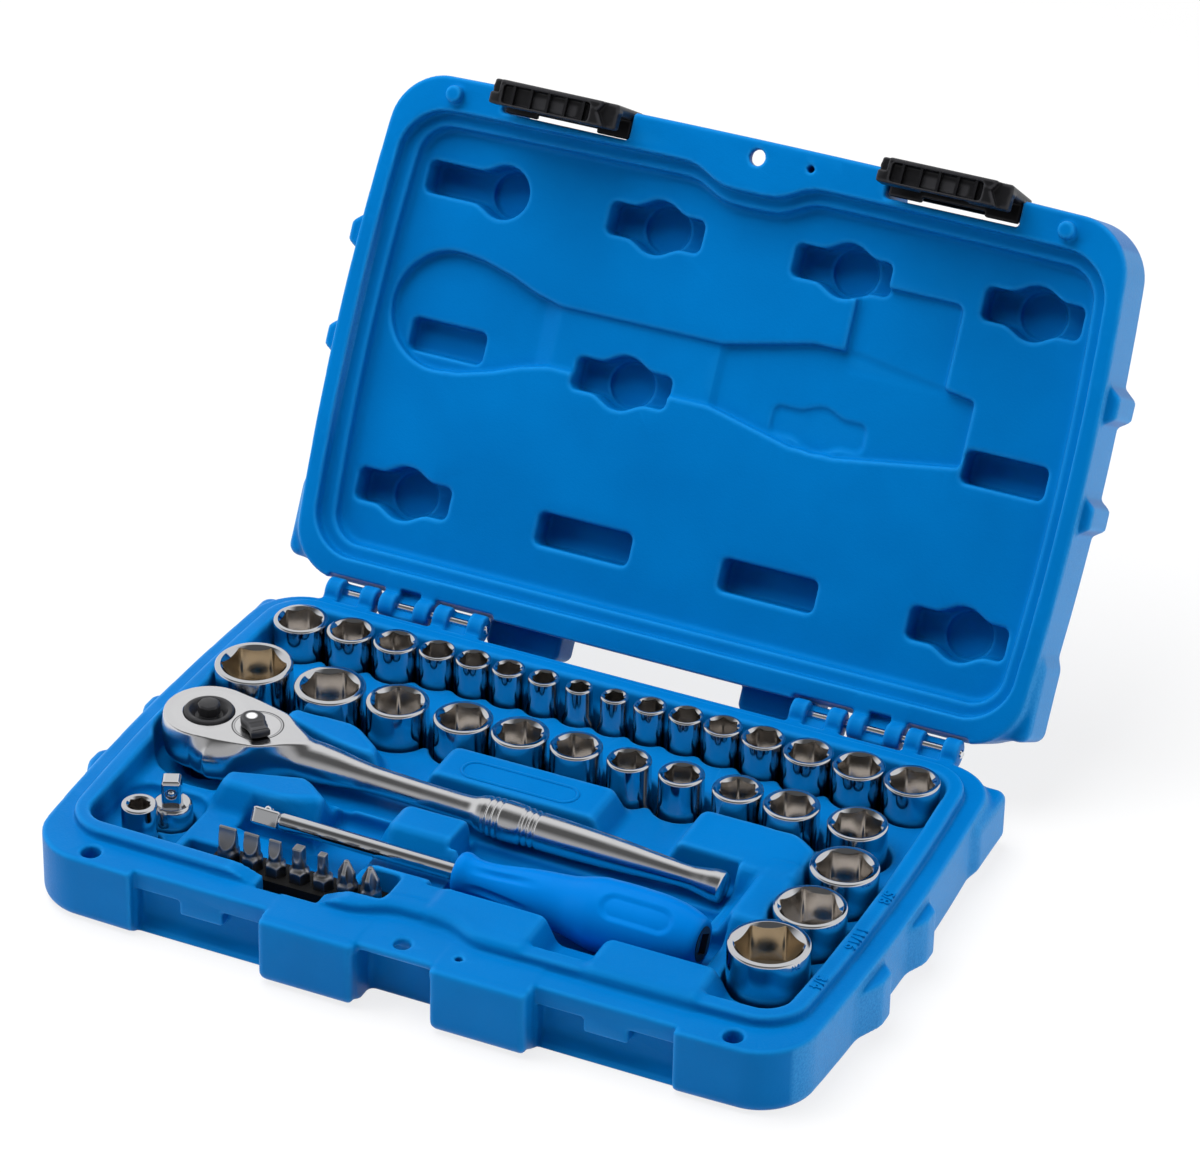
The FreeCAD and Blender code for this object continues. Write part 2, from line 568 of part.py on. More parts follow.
ball_out = "eighths_square / 2 - ball_radius + ball_show"
ball_low = "-head_bottom - square_long / 2"
hub_top = "head_top + hub_proud"
gear = cut("gear", fuse("gear_blank", [
    slab("gear_wheel", gear_outline(), "gear_high", gear_low),
    cylinder("gear_hub", "hub_radius", f"{hub_top} - ({gear_low})", z=gear_low),
    cylinder("gear_collar", "anvil_hub", f"{gear_low} + head_bottom", z="-head_bottom"),
    square("anvil", "eighths_square", "square_long + plate_high", "-head_bottom - square_long"),
]), [
    cylinder("stem_bore", "stem_radius + stem_play", f"{hub_top} + head_bottom", z="-head_bottom"),
    cylinder("spring_bore", "spring_radius + spring_play", "spring_high", z=f"{hub_top} - spring_high"),
    ball("gear_seat", "ball_radius", "0", ball_out, ball_low),
])
node(gear, "drive_gear", ratchet_place)
drive_ball_out = size["eighths_square"] / 2 - size["ball_radius"] + size["ball_show"]
drive_ball_low = -size["head_bottom"] - size["square_long"] / 2
detent("drive_ball", seated(ratchet_place, 0, drive_ball_out, drive_ball_low))

button_low = f"{hub_top} + button_travel"
stem_low = "-head_bottom + button_travel + gear_play"
button = fuse("button", [
    cylinder("button_cap", "button_radius", "button_high", z=button_low),
    cylinder("button_stem", "stem_radius", f"{button_low} - ({stem_low})", z=stem_low),
])
node(button, "release_button", ratchet_place)
spring_tall = "spring_high + button_travel"
spring_foot = f"{hub_top} - spring_high"
spring = cut("spring", cylinder("spring_sleeve", "spring_radius", spring_tall, z=spring_foot), [
    cylinder("spring_hole", "stem_radius + stem_play", spring_tall, z=spring_foot),
])
node(spring, "release_spring", ratchet_place)

# The reversing lever carries the pawl, and rests swung to one side
lever_turn = FreeCAD.Rotation(V(0, 0, 1), -size["lever_rest"])
lever_place = ratchet_place.multiply(FreeCAD.Placement(V(), lever_turn, V(size["lever_step"], 0, 0)))
lever_foot = "head_top - lever_sunk"
lever_top = "head_top + lever_gap"
lever = fuse("lever", [
    cylinder("lever_post", "lever_shaft", "lever_gap + lever_sunk", "lever_step", z=lever_foot),
    cylinder("lever_round", "lever_knob", "lever_high", "lever_step", z=lever_top),
    box("lever_thumb", "lever_long", "lever_wide", "lever_high", "lever_step", "-lever_wide / 2", lever_top),
])
node(lever, "reversing_lever", lever_place)
pawl_low = "-head_bottom + plate_high + gear_play"
pawl_high = f"{lever_foot} - ({pawl_low})"
pawl = cut("pawl_block", cylinder("pawl_round", PAWL, pawl_high, "lever_step", z=pawl_low), [
    box("pawl_flat", PAWL, f"2 * {PAWL}", pawl_high, "lever_step + pawl_back", f"-{PAWL}", pawl_low),
    cylinder("pawl_well", "stem_radius", pawl_high, "lever_step", z=f"{pawl_low} + pawl_floor"),
])
node(pawl, "pawl", lever_place)
node(cylinder("pawl_coil", "stem_radius - stem_play", f"{pawl_high} - pawl_floor"), "pawl_spring",
     seated(lever_place, size["lever_step"], 0,
            size["pawl_floor"] + size["plate_high"] + size["gear_play"] - size["head_bottom"]))

# Spinner handle, drawn from the end of its square along X, then laid in the tray
spinner_base = V(size["spinner_x"], size["hinge_y"] - size["spinner_from_hinge"],
                 size["base_height"] + size["spinner_high"])
spinner_place = FreeCAD.Placement(spinner_base, FreeCAD.Rotation(size["spinner_yaw"], 0, -size["spinner_roll"]))
spinner_plan = FreeCAD.Placement(spinner_base, FreeCAD.Rotation(size["spinner_yaw"], 0, 0))
half_square = "quarter_square / 2"
spinner_ball_out = f"{half_square} - ball_radius + ball_show"
shank = cut("shank", fuse("shank_blank", [
    box("spinner_square", "spinner_square_long", "quarter_square", "quarter_square",
        "0", f"-{half_square}", f"-{half_square}"),
    cylinder("shank_bar", "shank_radius", "spinner_neck + shank_hold - spinner_square_long",
             "spinner_square_long", turn=ALONG_X),
]), [ball("spinner_seat", "ball_radius", "spinner_square_long / 2", "0", spinner_ball_out)])
node(shank, "spinner_shank", spinner_place)
detent("spinner_ball", seated(spinner_place, size["spinner_square_long"] / 2, 0,
                              size["quarter_square"] / 2 - size["ball_radius"] + size["ball_show"]))

neck = "spinner_neck"
insert_from = f"{neck} + spinner_grip - insert_long"
grip = cut("grip", fuse("grip_blank", lathe("spinner_grip_part", [
    (neck, f"{neck} + collar_long", "collar_radius", "collar_radius"),
    (f"{neck} + collar_long", f"{neck} + waist_at", "collar_radius", "spinner_waist"),
    (f"{neck} + waist_at", f"{neck} + flank_at", "spinner_waist", "flank_radius"),
    (f"{neck} + flank_at", f"{neck} + shoulder_at", "flank_radius", "shoulder_radius"),
    (f"{neck} + shoulder_at", f"{neck} + swell_from", "shoulder_radius", "swell_radius"),
    (f"{neck} + swell_from", f"{neck} + swell_to", "swell_radius", "swell_radius"),
    (f"{neck} + swell_to", f"{neck} + spinner_grip", "swell_radius", "spinner_end_radius"),
])), [
    cylinder("shank_socket", "shank_radius", "shank_hold", neck, turn=ALONG_X),
    cylinder("insert_socket", "insert_radius", "insert_long", insert_from, turn=ALONG_X),
])
node(grip, "spinner_handle", spinner_place)
insert = cut("insert", cylinder("insert_plug", "insert_radius", "insert_long", insert_from, turn=ALONG_X), [
    box("insert_drive", "drive_deep", "quarter_square + 2 * square_play", "quarter_square + 2 * square_play",
        f"{neck} + spinner_grip - drive_deep", f"-{half_square} - square_play",
        f"-{half_square} - square_play"),
])
node(insert, "spinner_insert", spinner_place)

# Case base
def base_side(hand, sign):
    """What the base has on each side of its centre line: front block, rear foot and outer knuckles."""
    block_outer = f"latch_x - {CATCH_HALF}"
    pieces = [
        span(f"front_block_{hand}", mirrored_x(sign, "front_block_inner", block_outer),
             mirrored_x(sign, block_outer, "front_block_inner"), LIP_FRONT, BLOCK_REACH, "0", RIM),
        span(f"base_foot_{hand}", mirrored_x(sign, "foot_inner", "foot_outer"),
             mirrored_x(sign, "foot_outer", "foot_inner"), "-foot_reach", "foot_root", "foot_lift",
             f"{RIM} - {FOOT_DROP}"),
    ]
    holes = []
    for slot in (-1, 1):
        start, tube, hole = knuckle(f"base_knuckle_{hand}_{slot + 1}", sign, slot, "hinge_pin_radius")
        web = box(f"base_web_{hand}_{slot + 1}", "knuckle_long", "knuckle_web", "knuckle_radius", start,
                  "hinge_y - knuckle_web", f"{RIM} - knuckle_radius")
        pieces += [tube, web]
        holes.append(hole)
    return pieces, holes


def base_catch(hand, sign):
    """The recess in the base's front that a latch hooks into, with its band and tab left standing."""
    left = f"{sign} * latch_x - {CATCH_HALF}"
    right = f"{sign} * latch_x + {CATCH_HALF}"
    deep = f"{CATCH_UNDER} - band_room"
    tab_left = f"{sign} * latch_x - tab_wide / 2"
    tab_right = f"{sign} * latch_x + tab_wide / 2"
    face = span(f"catch_face_{hand}", left, right, BAND_FACE, BLOCK_REACH, "0", RIM)
    room = span(f"catch_room_{hand}", left, right, f"{BAND_FACE} - band_depth", BAND_FACE, deep, CATCH_UNDER)
    tab = span(f"catch_tab_{hand}", tab_left, tab_right, f"{BAND_FACE} - band_depth", BAND_FACE,
               f"{CATCH_UNDER} - tab_drop", CATCH_UNDER)
    return [face, cut(f"catch_hook_room_{hand}", room, [tab])]


tub = case_plan("tub", size["base_back"], "base_height", "0")
base_shell = rounded("base_shell", tub, size["edge_round"], at_level(0.0))
lip_ring = cut("lip_ring", lip_plan("lip", 0, "lip_height", RIM), [
    lip_plan("lip_inside", -size["lip_band"], "lip_height", RIM),
    cylinder("lip_land", "hang_land", "lip_height", "0", f"hinge_y - {HANG_BACK}", RIM),
])
tray_floor = f"{RIM} - tray_deep"
base_tray = cut("base_tray", base_shell, [lip_plan("tray", -size["lip_band"], "tray_deep", tray_floor)])
base_pieces = [base_tray, lip_ring] + side_bumpers("base", "rib_margin", f"{RIM} - rib_margin")
block_top = f"{RIM} + block_height"


def edged(name, low, high):
    """A block or a room between its four edges."""
    return span(name, f"{name}_left", f"{name}_right", f"{name}_rear", f"{name}_front", low, high)


base_pieces += [edged(name, tray_floor, block_top) for name in BLOCKS]

pockets = [cylinder(name + "_pocket", f"{width} / 2 + pocket_play", UPWARDS, x, y, "socket_floor")
           for name, (x, y, width) in socket_places.items()]
pockets += [
    cylinder("holder_pocket", "holder_radius + pocket_play", UPWARDS, HOLDER_X,
             "hinge_y - holder_from_hinge", "socket_floor"),
    cylinder("adapter_pocket", "adapter_radius + pocket_play", UPWARDS, ADAPTER_X,
             "hinge_y - adapter_from_hinge", "socket_floor"),
    span("bit_slot", f"{strip_left} - strip_play", f"{strip_right} + strip_play",
         f"{strip_rear} - strip_play", f"{strip_front} + strip_play", "socket_floor", UPWARDS),
    span("lip_gap", "bit_start + gap_from", "bit_start + gap_to", strip_front, f"{LIP_FRONT} + gap_reach",
         "socket_floor", UPWARDS),
]
pockets += [edged(name, f"{RIM} - {name}_deep", UPWARDS) for name in ROOMS]
head_rest = "-head_bottom - rest_play - head_flat * sin(ratchet_pitch * 1deg)"
ratchet_pocket = fuse("ratchet_pocket", [
    cylinder("head_pocket", "head_radius + ratchet_room", UPWARDS, z=head_rest),
    cylinder("widest_pocket", "head_wide + ratchet_room", UPWARDS, "head_step", z=head_rest),
    slab("taper_pocket", head_outline(size["ratchet_room"]), UPWARDS, head_rest),
    box("grip_pocket", "grip_end - neck_from + ratchet_room", "2 * (grip_radius + ratchet_room)", UPWARDS,
        "neck_from", "-grip_radius - ratchet_room", "-head_bottom - ratchet_room"),
    cylinder("anvil_pocket", "eighths_square / sqrt(2) + anvil_room", UPWARDS,
             z="-head_bottom - square_long - anvil_room"),
    box("finger_room", "grip_end - grip_from", "grip_room", UPWARDS, "grip_from + ratchet_room",
        "-grip_radius - grip_room", "-grip_room_depth"),
])
ratchet_pocket.Placement = ratchet_plan
spinner_pocket = fuse("spinner_pocket", [
    box("shank_channel", "spinner_neck + 2 * spinner_room", "quarter_square + 2 * spinner_room", UPWARDS,
        "-spinner_room", f"-{half_square} - spinner_room", "-tray_deep"),
    box("grip_channel", "spinner_grip + 2 * spinner_room", "2 * (swell_radius + spinner_room)", UPWARDS,
        f"{neck} - spinner_room", "-swell_radius - spinner_room", "-swell_radius - rest_play"),
])
spinner_pocket.Placement = spinner_plan

base_extras, base_bores = zip(*both_sides(base_side))
base_holes = [
    cylinder("boss_hole_right", "boss_radius + boss_play", "2 * boss_long", BOSS_X,
             f"hinge_y - {BOSS_BACK}", f"{RIM} - boss_long - cut_past"),
    cylinder("boss_hole_left", "boss_radius + boss_play", "2 * boss_long", f"-{BOSS_X}",
             f"hinge_y - {BOSS_BACK}", f"{RIM} - boss_long - cut_past"),
    cylinder("base_hang_hole", "hang_radius", UPWARDS, "0", f"hinge_y - {HANG_BACK}", "0"),
    cylinder("base_vent", "vent_radius", UPWARDS, "vent_x", f"hinge_y - {HANG_BACK}", f"{RIM} - boss_long"),
    span("finger_recess", "-front_block_inner", "front_block_inner", "case_front - finger_deep",
         BLOCK_REACH, "0", f"{RIM} - flange"),
]
base_rooms = both_sides(lambda hand, sign: hinge_room(f"base_hinge_room_{hand}", sign))
base_solids = base_pieces + [piece for pieces in base_extras for piece in pieces[:2]]
base_hollows = pockets + [ratchet_pocket, spinner_pocket] + sum(both_sides(base_catch), [])
base_body = cut("base_body", fuse("base_blank", base_solids), base_rooms + base_hollows + base_holes)
base_knuckles = [piece for pieces in base_extras for piece in pieces[2:]]
case_base = cut("case_base", fuse("base_with_knuckles", [base_body] + base_knuckles), sum(base_bores, []))
node(case_base, "case_base")

# Case lid, drawn shut on the base, then swung open about the hinge
hinge_line = V(0, size["hinge_y"], size["base_height"])
lid_open = FreeCAD.Placement(V(), FreeCAD.Rotation(V(1, 0, 0), -size["open_angle"]), hinge_line)


def lid_side(hand, sign):
    """What the lid has on each side of its centre line: a rear foot, a boss and the middle knuckle."""
    pieces = [
        span(f"lid_foot_{hand}", mirrored_x(sign, "foot_inner", "foot_outer"),
             mirrored_x(sign, "foot_outer", "foot_inner"), "-foot_reach", "foot_root",
             f"{RIM} + {FOOT_DROP}", f"{RIM} + lid_depth - foot_lift"),
        cylinder(f"lid_boss_{hand}", "boss_radius", "2 * boss_long", f"{sign} * {BOSS_X}",
                 f"hinge_y - {BOSS_BACK}", f"{RIM} - boss_long"),
    ]
    start, tube, hole = knuckle(f"lid_knuckle_{hand}", sign, 0, "hinge_pin_radius + pin_play")
    web = box(f"lid_web_{hand}", "knuckle_long", "knuckle_web", "knuckle_radius", start,
              "hinge_y - knuckle_web", RIM)
    return pieces + [tube, web], [hole]


def lid_latch_room(hand, sign):
    """The recess through the lid's front for a latch, and the holes for its pin."""
    left = f"{sign} * latch_x - {CATCH_HALF}"
    right = f"{sign} * latch_x + {CATCH_HALF}"
    room = span(f"latch_room_{hand}", left, right, LATCH_ROOM, BLOCK_REACH, RIM, UPWARDS)
    return [room, latch_pin(f"latch_pin_hole_{hand}", sign)]


def latch_pin(name, sign):
    """A pin that crosses a latch's recess and goes into the lid at both ends."""
    length = f"2 * ({CATCH_HALF} + knuckle_radius)"
    return cylinder(name, "latch_pin_radius", length, f"{sign} * latch_x - ({length}) / 2",
                    f"hinge_y - {LATCH_PIVOT}", f"{RIM} + latch_pivot_high", ALONG_X)


def pit(name, bulge):
    back = f"{name}_from_hinge"
    deep = f"{PANEL} + pit_depth"
    pieces = [span(name, f"{name}_left", f"{name}_right", f"{back} - pit_wide / 2", f"{back} + pit_wide / 2",
                   RIM, f"{RIM} + {deep}")]
    if bulge is not None:
        pieces.append(cylinder(name + "_round", "pit_round", deep, f"{name}_bulge", f"hinge_y - {back}", RIM))
    return pieces


# Shallow recesses over the two handles follow them with the same room round them
ratchet_recess = fuse("ratchet_recess", [
    cylinder("round_recess", "head_radius + ratchet_room", TOOL_TOP),
    cylinder("head_recess", "head_wide + ratchet_room", TOOL_TOP, "head_step"),
    slab("taper_recess", head_outline(size["ratchet_room"]), TOOL_TOP),
    box("grip_recess", "grip_end - neck_from + ratchet_room", "2 * (grip_radius + ratchet_room)", TOOL_TOP,
        "neck_from", "-grip_radius - ratchet_room", "0"),
])
ratchet_recess.Placement = ratchet_plan
spinner_recess = box("spinner_recess", "spinner_grip - flank_at + spinner_room",
                     "2 * (swell_radius + spinner_room)", "swell_radius + spinner_room", "0", "0", "0")
spinner_recess.Placement = seated(spinner_plan, size["spinner_neck"] + size["flank_at"],
                                  -size["swell_radius"] - size["spinner_room"], 0)

lid_slab = case_plan("lid_slab", size["lid_back"], "lid_depth", RIM)
lid_top = size["base_height"] + size["lid_depth"]
lid_shell = rounded("lid_shell", lid_slab, size["edge_round"], at_level(lid_top))
border_deep = "block_height + lip_play"
lid_border = cut("lid_border", lip_plan("border", size["lip_play"], border_deep, RIM), [
    cylinder("border_land", "hang_land - lip_play", border_deep, "0", f"hinge_y - {HANG_BACK}", RIM),
])
lid_hollow = lip_plan("hollow", -size["panel_inset"], PANEL, RIM)
lid_extras, lid_bores = zip(*both_sides(lid_side))
lid_pits = sum([pit(name, row[-1]) for name, row in PITS.items()], [])
lid_holes = [
    cylinder("lid_hang_hole", "hang_radius", UPWARDS, "0", f"hinge_y - {HANG_BACK}", RIM),
    cylinder("lid_vent", "vent_radius", UPWARDS, "vent_x", f"hinge_y - {HANG_BACK}", RIM),
]
lid_rooms = both_sides(lambda hand, sign: hinge_room(f"lid_hinge_room_{hand}", sign))
lid_latch_rooms = sum(both_sides(lid_latch_room), [])
lid_feet = [pieces[0] for pieces in lid_extras]
lid_bumpers = side_bumpers("lid", f"{RIM} + rib_margin", f"{RIM} + lid_depth - rib_margin")
lid_hollows = [lid_border, lid_hollow, ratchet_recess, spinner_recess] + lid_pits
lid_body = cut("lid_body", fuse("lid_blank", [lid_shell] + lid_bumpers + lid_feet),
               lid_hollows + lid_holes + lid_rooms + lid_latch_rooms)
lid_knuckles = [piece for pieces in lid_extras for piece in pieces[1:]]
case_lid = cut("case_lid", fuse("lid_with_knuckles", [lid_body] + lid_knuckles), sum(lid_bores, []))
node(case_lid, "case_lid", lid_open)

# Hinge pins and latches
pin_length = "3 * knuckle_pitch"
hinge_pins = fuse("hinge_pin_pair", both_sides(lambda hand, sign: cylinder(
    f"hinge_pin_{hand}", "hinge_pin_radius", pin_length, f"{sign} * hinge_centre - ({pin_length}) / 2",
    "hinge_y", RIM, ALONG_X)))
node(hinge_pins, "hinge_pins")
latch_pins = fuse("latch_pin_pair", both_sides(lambda hand, sign: latch_pin(f"latch_pin_{hand}", sign)))
node(latch_pins, "latch_pins", lid_open)


def latch_grip(hand, left, right, front, low):
    """The hollow in a latch's end, with the ribs that cross it left standing."""
    start = f"({left} + latch_ear)"
    end = f"({right} - latch_lug)"
    rear = f"{BAND_FACE} - hook_bite + latch_wall"
    high = f"{low} + latch_hollow"
    hollow = span(f"latch_hollow_{hand}", start, end, rear, f"{front} - latch_wall", low, high)
    ribs = []
    for number in range(int(size["latch_ribs"])):
        middle = f"{start} + ({number} + latch_rib_lead) * ({end} - {start}) / latch_ribs"
        ribs.append(span(f"latch_rib_{hand}_{number}", f"{middle} - latch_rib / 2",
                         f"{middle} + latch_rib / 2", rear, front, low, high))
    return cut(f"latch_grip_{hand}", hollow, ribs)


def latch(hand, sign):
    """A latch drawn hooked under its band, swung a little way out, then opened with the lid."""
    middle = f"{sign} * latch_x"
    left = f"({middle} - latch_wide / 2)"
    right = f"({middle} + latch_wide / 2)"
    pivot_z = f"{RIM} + latch_pivot_high"
    inner = f"({BAND_FACE} + latch_gap)"
    outer = f"({BAND_FACE} + latch_gap + latch_plate)"
    hook_top = f"{CATCH_UNDER} - hook_play"
    end = f"({RIM} - latch_drop)"
    hook_rear = f"{BAND_FACE} - hook_bite"
    tab_half = "(tab_wide / 2 + latch_side_play)"
    shelf_rear = f"{LATCH_ROOM} + shelf_play"
    shelf_top = f"{RIM} + shelf_low + shelf_high"
    body = fuse(f"latch_body_{hand}", [
        span(f"latch_plate_{hand}", left, right, inner, outer, end, pivot_z),
        cylinder(f"latch_barrel_{hand}", "latch_barrel", "latch_wide", left, f"hinge_y - {LATCH_PIVOT}",
                 pivot_z, ALONG_X),
        span(f"latch_hook_{hand}", left, right, hook_rear, inner, end, hook_top),
        span(f"latch_shelf_{hand}", left, right, shelf_rear, inner, f"{RIM} + shelf_low", shelf_top),
    ])
    piece = cut(f"latch_{hand}", body, [
        cylinder(f"latch_bore_{hand}", "latch_pin_radius + pin_play", "latch_wide", left,
                 f"hinge_y - {LATCH_PIVOT}", pivot_z, ALONG_X),
        span(f"latch_tab_room_{hand}", f"{middle} - {tab_half}", f"{middle} + {tab_half}", hook_rear, inner,
             f"{CATCH_UNDER} - tab_drop - hook_play", hook_top),
        span(f"latch_slot_{hand}", f"{middle} - shelf_slot / 2", f"{middle} + shelf_slot / 2", shelf_rear,
             f"{shelf_rear} + shelf_slot_deep", f"{RIM} + shelf_low", shelf_top),
        latch_grip(hand, left, right, outer, end),
    ])
    pivot_y = size["hinge_y"] - size["case_front"] + size["latch_pivot_in"]
    pivot = V(0, pivot_y, size["base_height"] + size["latch_pivot_high"])
    swing = FreeCAD.Rotation(V(1, 0, 0), -size[f"{hand}_latch_rest"])
    node(piece, f"{hand}_latch", lid_open.multiply(FreeCAD.Placement(V(), swing, pivot)))


both_sides(latch)

# Check every object, then write each sub-part to its own file
doc.recompute()
for obj in doc.Objects:
    if "Invalid" in obj.State or "Error" in obj.State:
        raise RuntimeError(f"{obj.Name} failed: {obj.State}")
os.makedirs("parts", exist_ok=True)
for obj in nodes:
    if obj.Shape.isNull() or not obj.Shape.isValid():
        raise RuntimeError(f"{obj.Label} has no valid shape")
for obj in nodes:
    obj.Shape.exportStep(f"parts/{obj.Label}.step")
    print(obj.Label, len(obj.Shape.Solids), round(obj.Shape.Volume, 1))
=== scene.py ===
# %% [markdown]
# # A socket wrench set in its case
# The frame holds the measured parts: a hinged case, two latches, rows of sockets, a ratchet, a spinner handle and
# a few bits. This script gives each of them the surface that it has on the real set. Everything is worked in
# millimetres from the hinge, because that is how a case maker would draw it, and turned into metres at the end.

# %% Load the frame
import json
import math

import bmesh
import bpy
import numpy as np
from mathutils import Matrix, Vector


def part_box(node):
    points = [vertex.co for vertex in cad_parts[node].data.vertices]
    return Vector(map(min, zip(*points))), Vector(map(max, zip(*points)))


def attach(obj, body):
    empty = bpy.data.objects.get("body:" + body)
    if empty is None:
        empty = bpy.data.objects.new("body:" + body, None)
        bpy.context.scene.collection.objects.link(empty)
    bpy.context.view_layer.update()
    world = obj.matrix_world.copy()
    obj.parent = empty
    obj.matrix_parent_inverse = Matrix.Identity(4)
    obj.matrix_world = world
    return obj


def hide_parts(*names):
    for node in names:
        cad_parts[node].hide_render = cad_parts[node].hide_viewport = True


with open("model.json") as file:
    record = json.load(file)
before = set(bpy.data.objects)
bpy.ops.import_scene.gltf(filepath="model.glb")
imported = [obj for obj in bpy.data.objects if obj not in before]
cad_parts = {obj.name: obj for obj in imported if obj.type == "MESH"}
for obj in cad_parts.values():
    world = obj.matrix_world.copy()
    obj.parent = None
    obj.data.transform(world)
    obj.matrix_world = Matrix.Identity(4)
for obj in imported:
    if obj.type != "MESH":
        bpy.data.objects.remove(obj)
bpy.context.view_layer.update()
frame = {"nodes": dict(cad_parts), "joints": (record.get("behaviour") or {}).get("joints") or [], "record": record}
MM = 0.001
joints = {joint["name"]: joint for joint in frame["joints"]}
openings = {opening["name"]: opening["box_m"] for opening in frame["record"]["physics"]["openings"]}
HINGE_Y, RIM = [value / MM for value in joints["lid_hinge"]["pos_m"][1:]]
OPEN_ANGLE = -joints["lid_hinge"]["range_deg"][0]
print("nodes", len(frame["nodes"]), "hinge at", HINGE_Y, RIM, "lid open by", OPEN_ANGLE)


# %% [markdown]
# ## Getting pieces into the scene
# Every finished piece sits at the origin with its place in its mesh, so that a pattern on Object coordinates stays
# where it is put. One helper makes the object, gives it a finish, lets it ride on a body and hides the plain solid.

# %% Piece helpers
def link_up(name, data):
    """An object in the scene for a mesh, a curve, a lamp or a camera."""
    thing = bpy.data.objects.new(name, data)
    bpy.context.scene.collection.objects.link(thing)
    return thing


def add_mesh(name, points, faces, smooth=True):
    """A mesh object from points in metres."""
    mesh = bpy.data.meshes.new(name)
    mesh.from_pydata([tuple(p) for p in points], [], [tuple(int(i) for i in f) for f in faces])
    mesh.update()
    if smooth:
        mesh.shade_smooth()
    return link_up(name, mesh)


def settle(piece):
    """Turn what the modifiers make into the piece's own plain mesh."""
    graph = bpy.context.evaluated_depsgraph_get()
    mesh = bpy.data.meshes.new_from_object(piece.evaluated_get(graph))
    piece.modifiers.clear()
    piece.data = mesh
    return piece


def fit(piece, body, finish, slot, *nodes):
    """Give a piece its finish and let it ride, in the place of the named solids."""
    piece.data.materials.clear()
    piece.data.materials.append(finish)
    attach(piece, body)
    if nodes:
        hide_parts(*nodes)
    print(piece.name, len(piece.data.polygons), "faces")
    return piece


# %% [markdown]
# ## Effects that several finishes share
# Plastic, chrome and steel differ in colour, but the same effects serve them: a mould leaves grain, handling leaves
# smudges, and colour is painted lighter on edges and darker in corners. The lighter edges are a painted highlight,
# on metal partly wear as well, and the darker corners are painted shade. Each of these is made once as a node group
# and put into the materials with other values. The patterns read Object coordinates, so they stay on a piece.

# %% Node group helpers
def shader_group(name, inputs, outputs):
    """An empty shader group with named sockets, and its two end nodes."""
    tree = bpy.data.node_groups.new(name, "ShaderNodeTree")
    for label, value in inputs.items():
        kind = "NodeSocketFloat" if isinstance(value, float) else "NodeSocketVector"
        tree.interface.new_socket(label, in_out="INPUT", socket_type=kind).default_value = value
    for label in outputs:
        tree.interface.new_socket(label, in_out="OUTPUT", socket_type="NodeSocketFloat")
    return tree, tree.nodes.new("NodeGroupInput"), tree.nodes.new("NodeGroupOutput")


def put(tree, kind, settings=None, **values):
    """A node with its settings, and its sockets set to values or linked to other sockets."""
    node = tree.nodes.new(kind)
    for name, value in (settings or {}).items():
        setattr(node, name, value)
    for name, value in values.items():
        socket = node.inputs[int(name[1:])] if name[0] == "i" and name[1:].isdigit() else node.inputs[name]
        if isinstance(value, bpy.types.NodeSocket):
            tree.links.new(value, socket)
        else:
            socket.default_value = value
    return node


def maths(tree, operation, first, second=0.0):
    return put(tree, "ShaderNodeMath", {"operation": operation}, i0=first, i1=second).outputs[0]


def ramp(tree, value, low, high, start=0.0, end=1.0):
    """A value stretched from one range to another and held inside it."""
    return put(tree, "ShaderNodeMapRange", None, i0=value, i1=low, i2=high, i3=start, i4=end).outputs[0]


# %% Grain of a mould
def make_grain():
    tree, given, result = shader_group("moulded grain", {"Scale": 1400.0}, ("Height", "Tone"))
    where = put(tree, "ShaderNodeTexCoord").outputs["Object"]
    fine = put(tree, "ShaderNodeTexNoise", None, Vector=where, Scale=given.outputs[0], Detail=3.0, Roughness=0.6)
    broad = put(tree, "ShaderNodeTexNoise", None, Vector=where, Scale=28.0, Detail=2.0)
    tree.links.new(fine.outputs[0], result.inputs["Height"])
    tree.links.new(broad.outputs[0], result.inputs["Tone"])
    return tree


# %% Smudges of handling
def make_smudge():
    tree, given, result = shader_group("handling smudge", {"Scale": 60.0}, ("Smudge",))
    where = put(tree, "ShaderNodeTexCoord").outputs["Object"]
    cloud = put(tree, "ShaderNodeTexNoise", None, Vector=where, Scale=given.outputs[0], Detail=4.0, Distortion=0.8)
    tree.links.new(ramp(tree, cloud.outputs[0], 0.35, 0.7), result.inputs["Smudge"])
    return tree


# %% Painted highlights on edges and painted shade in corners
def make_edges():
    tree, given, result = shader_group("edges and corners", {"Sharp": 0.9}, ("Edge", "Corner"))
    # Edge carries the painted highlight on edges, Corner the painted shade in corners.
    bend = put(tree, "ShaderNodeAttribute", {"attribute_name": "edge"}).outputs["Fac"]
    tree.links.new(ramp(tree, bend, 0.12, given.outputs[0]), result.inputs["Edge"])
    tree.links.new(ramp(tree, maths(tree, "MULTIPLY", bend, -1.0), 0.12, given.outputs[0]), result.inputs["Corner"])
    return tree


# %% A round mark about an upright axis
def make_round_mark():
    tree, given, result = shader_group("round mark", {"Centre": (0.0, 0.0, 0.0), "Radius": 0.008, "Width": 0.0003},
                                       ("Mark",))
    where = put(tree, "ShaderNodeTexCoord").outputs["Object"]
    away = put(tree, "ShaderNodeVectorMath", {"operation": "SUBTRACT"}, i0=where, i1=given.outputs["Centre"])
    flat = put(tree, "ShaderNodeVectorMath", {"operation": "MULTIPLY"}, i0=away.outputs[0], i1=(1.0, 1.0, 0.0))
    reach = put(tree, "ShaderNodeVectorMath", {"operation": "LENGTH"}, i0=flat.outputs[0]).outputs["Value"]
    off = maths(tree, "ABSOLUTE", maths(tree, "SUBTRACT", reach, given.outputs["Radius"]))
    share = maths(tree, "DIVIDE", off, given.outputs["Width"])
    tree.links.new(ramp(tree, share, 1.0, 0.6), result.inputs["Mark"])
    return tree


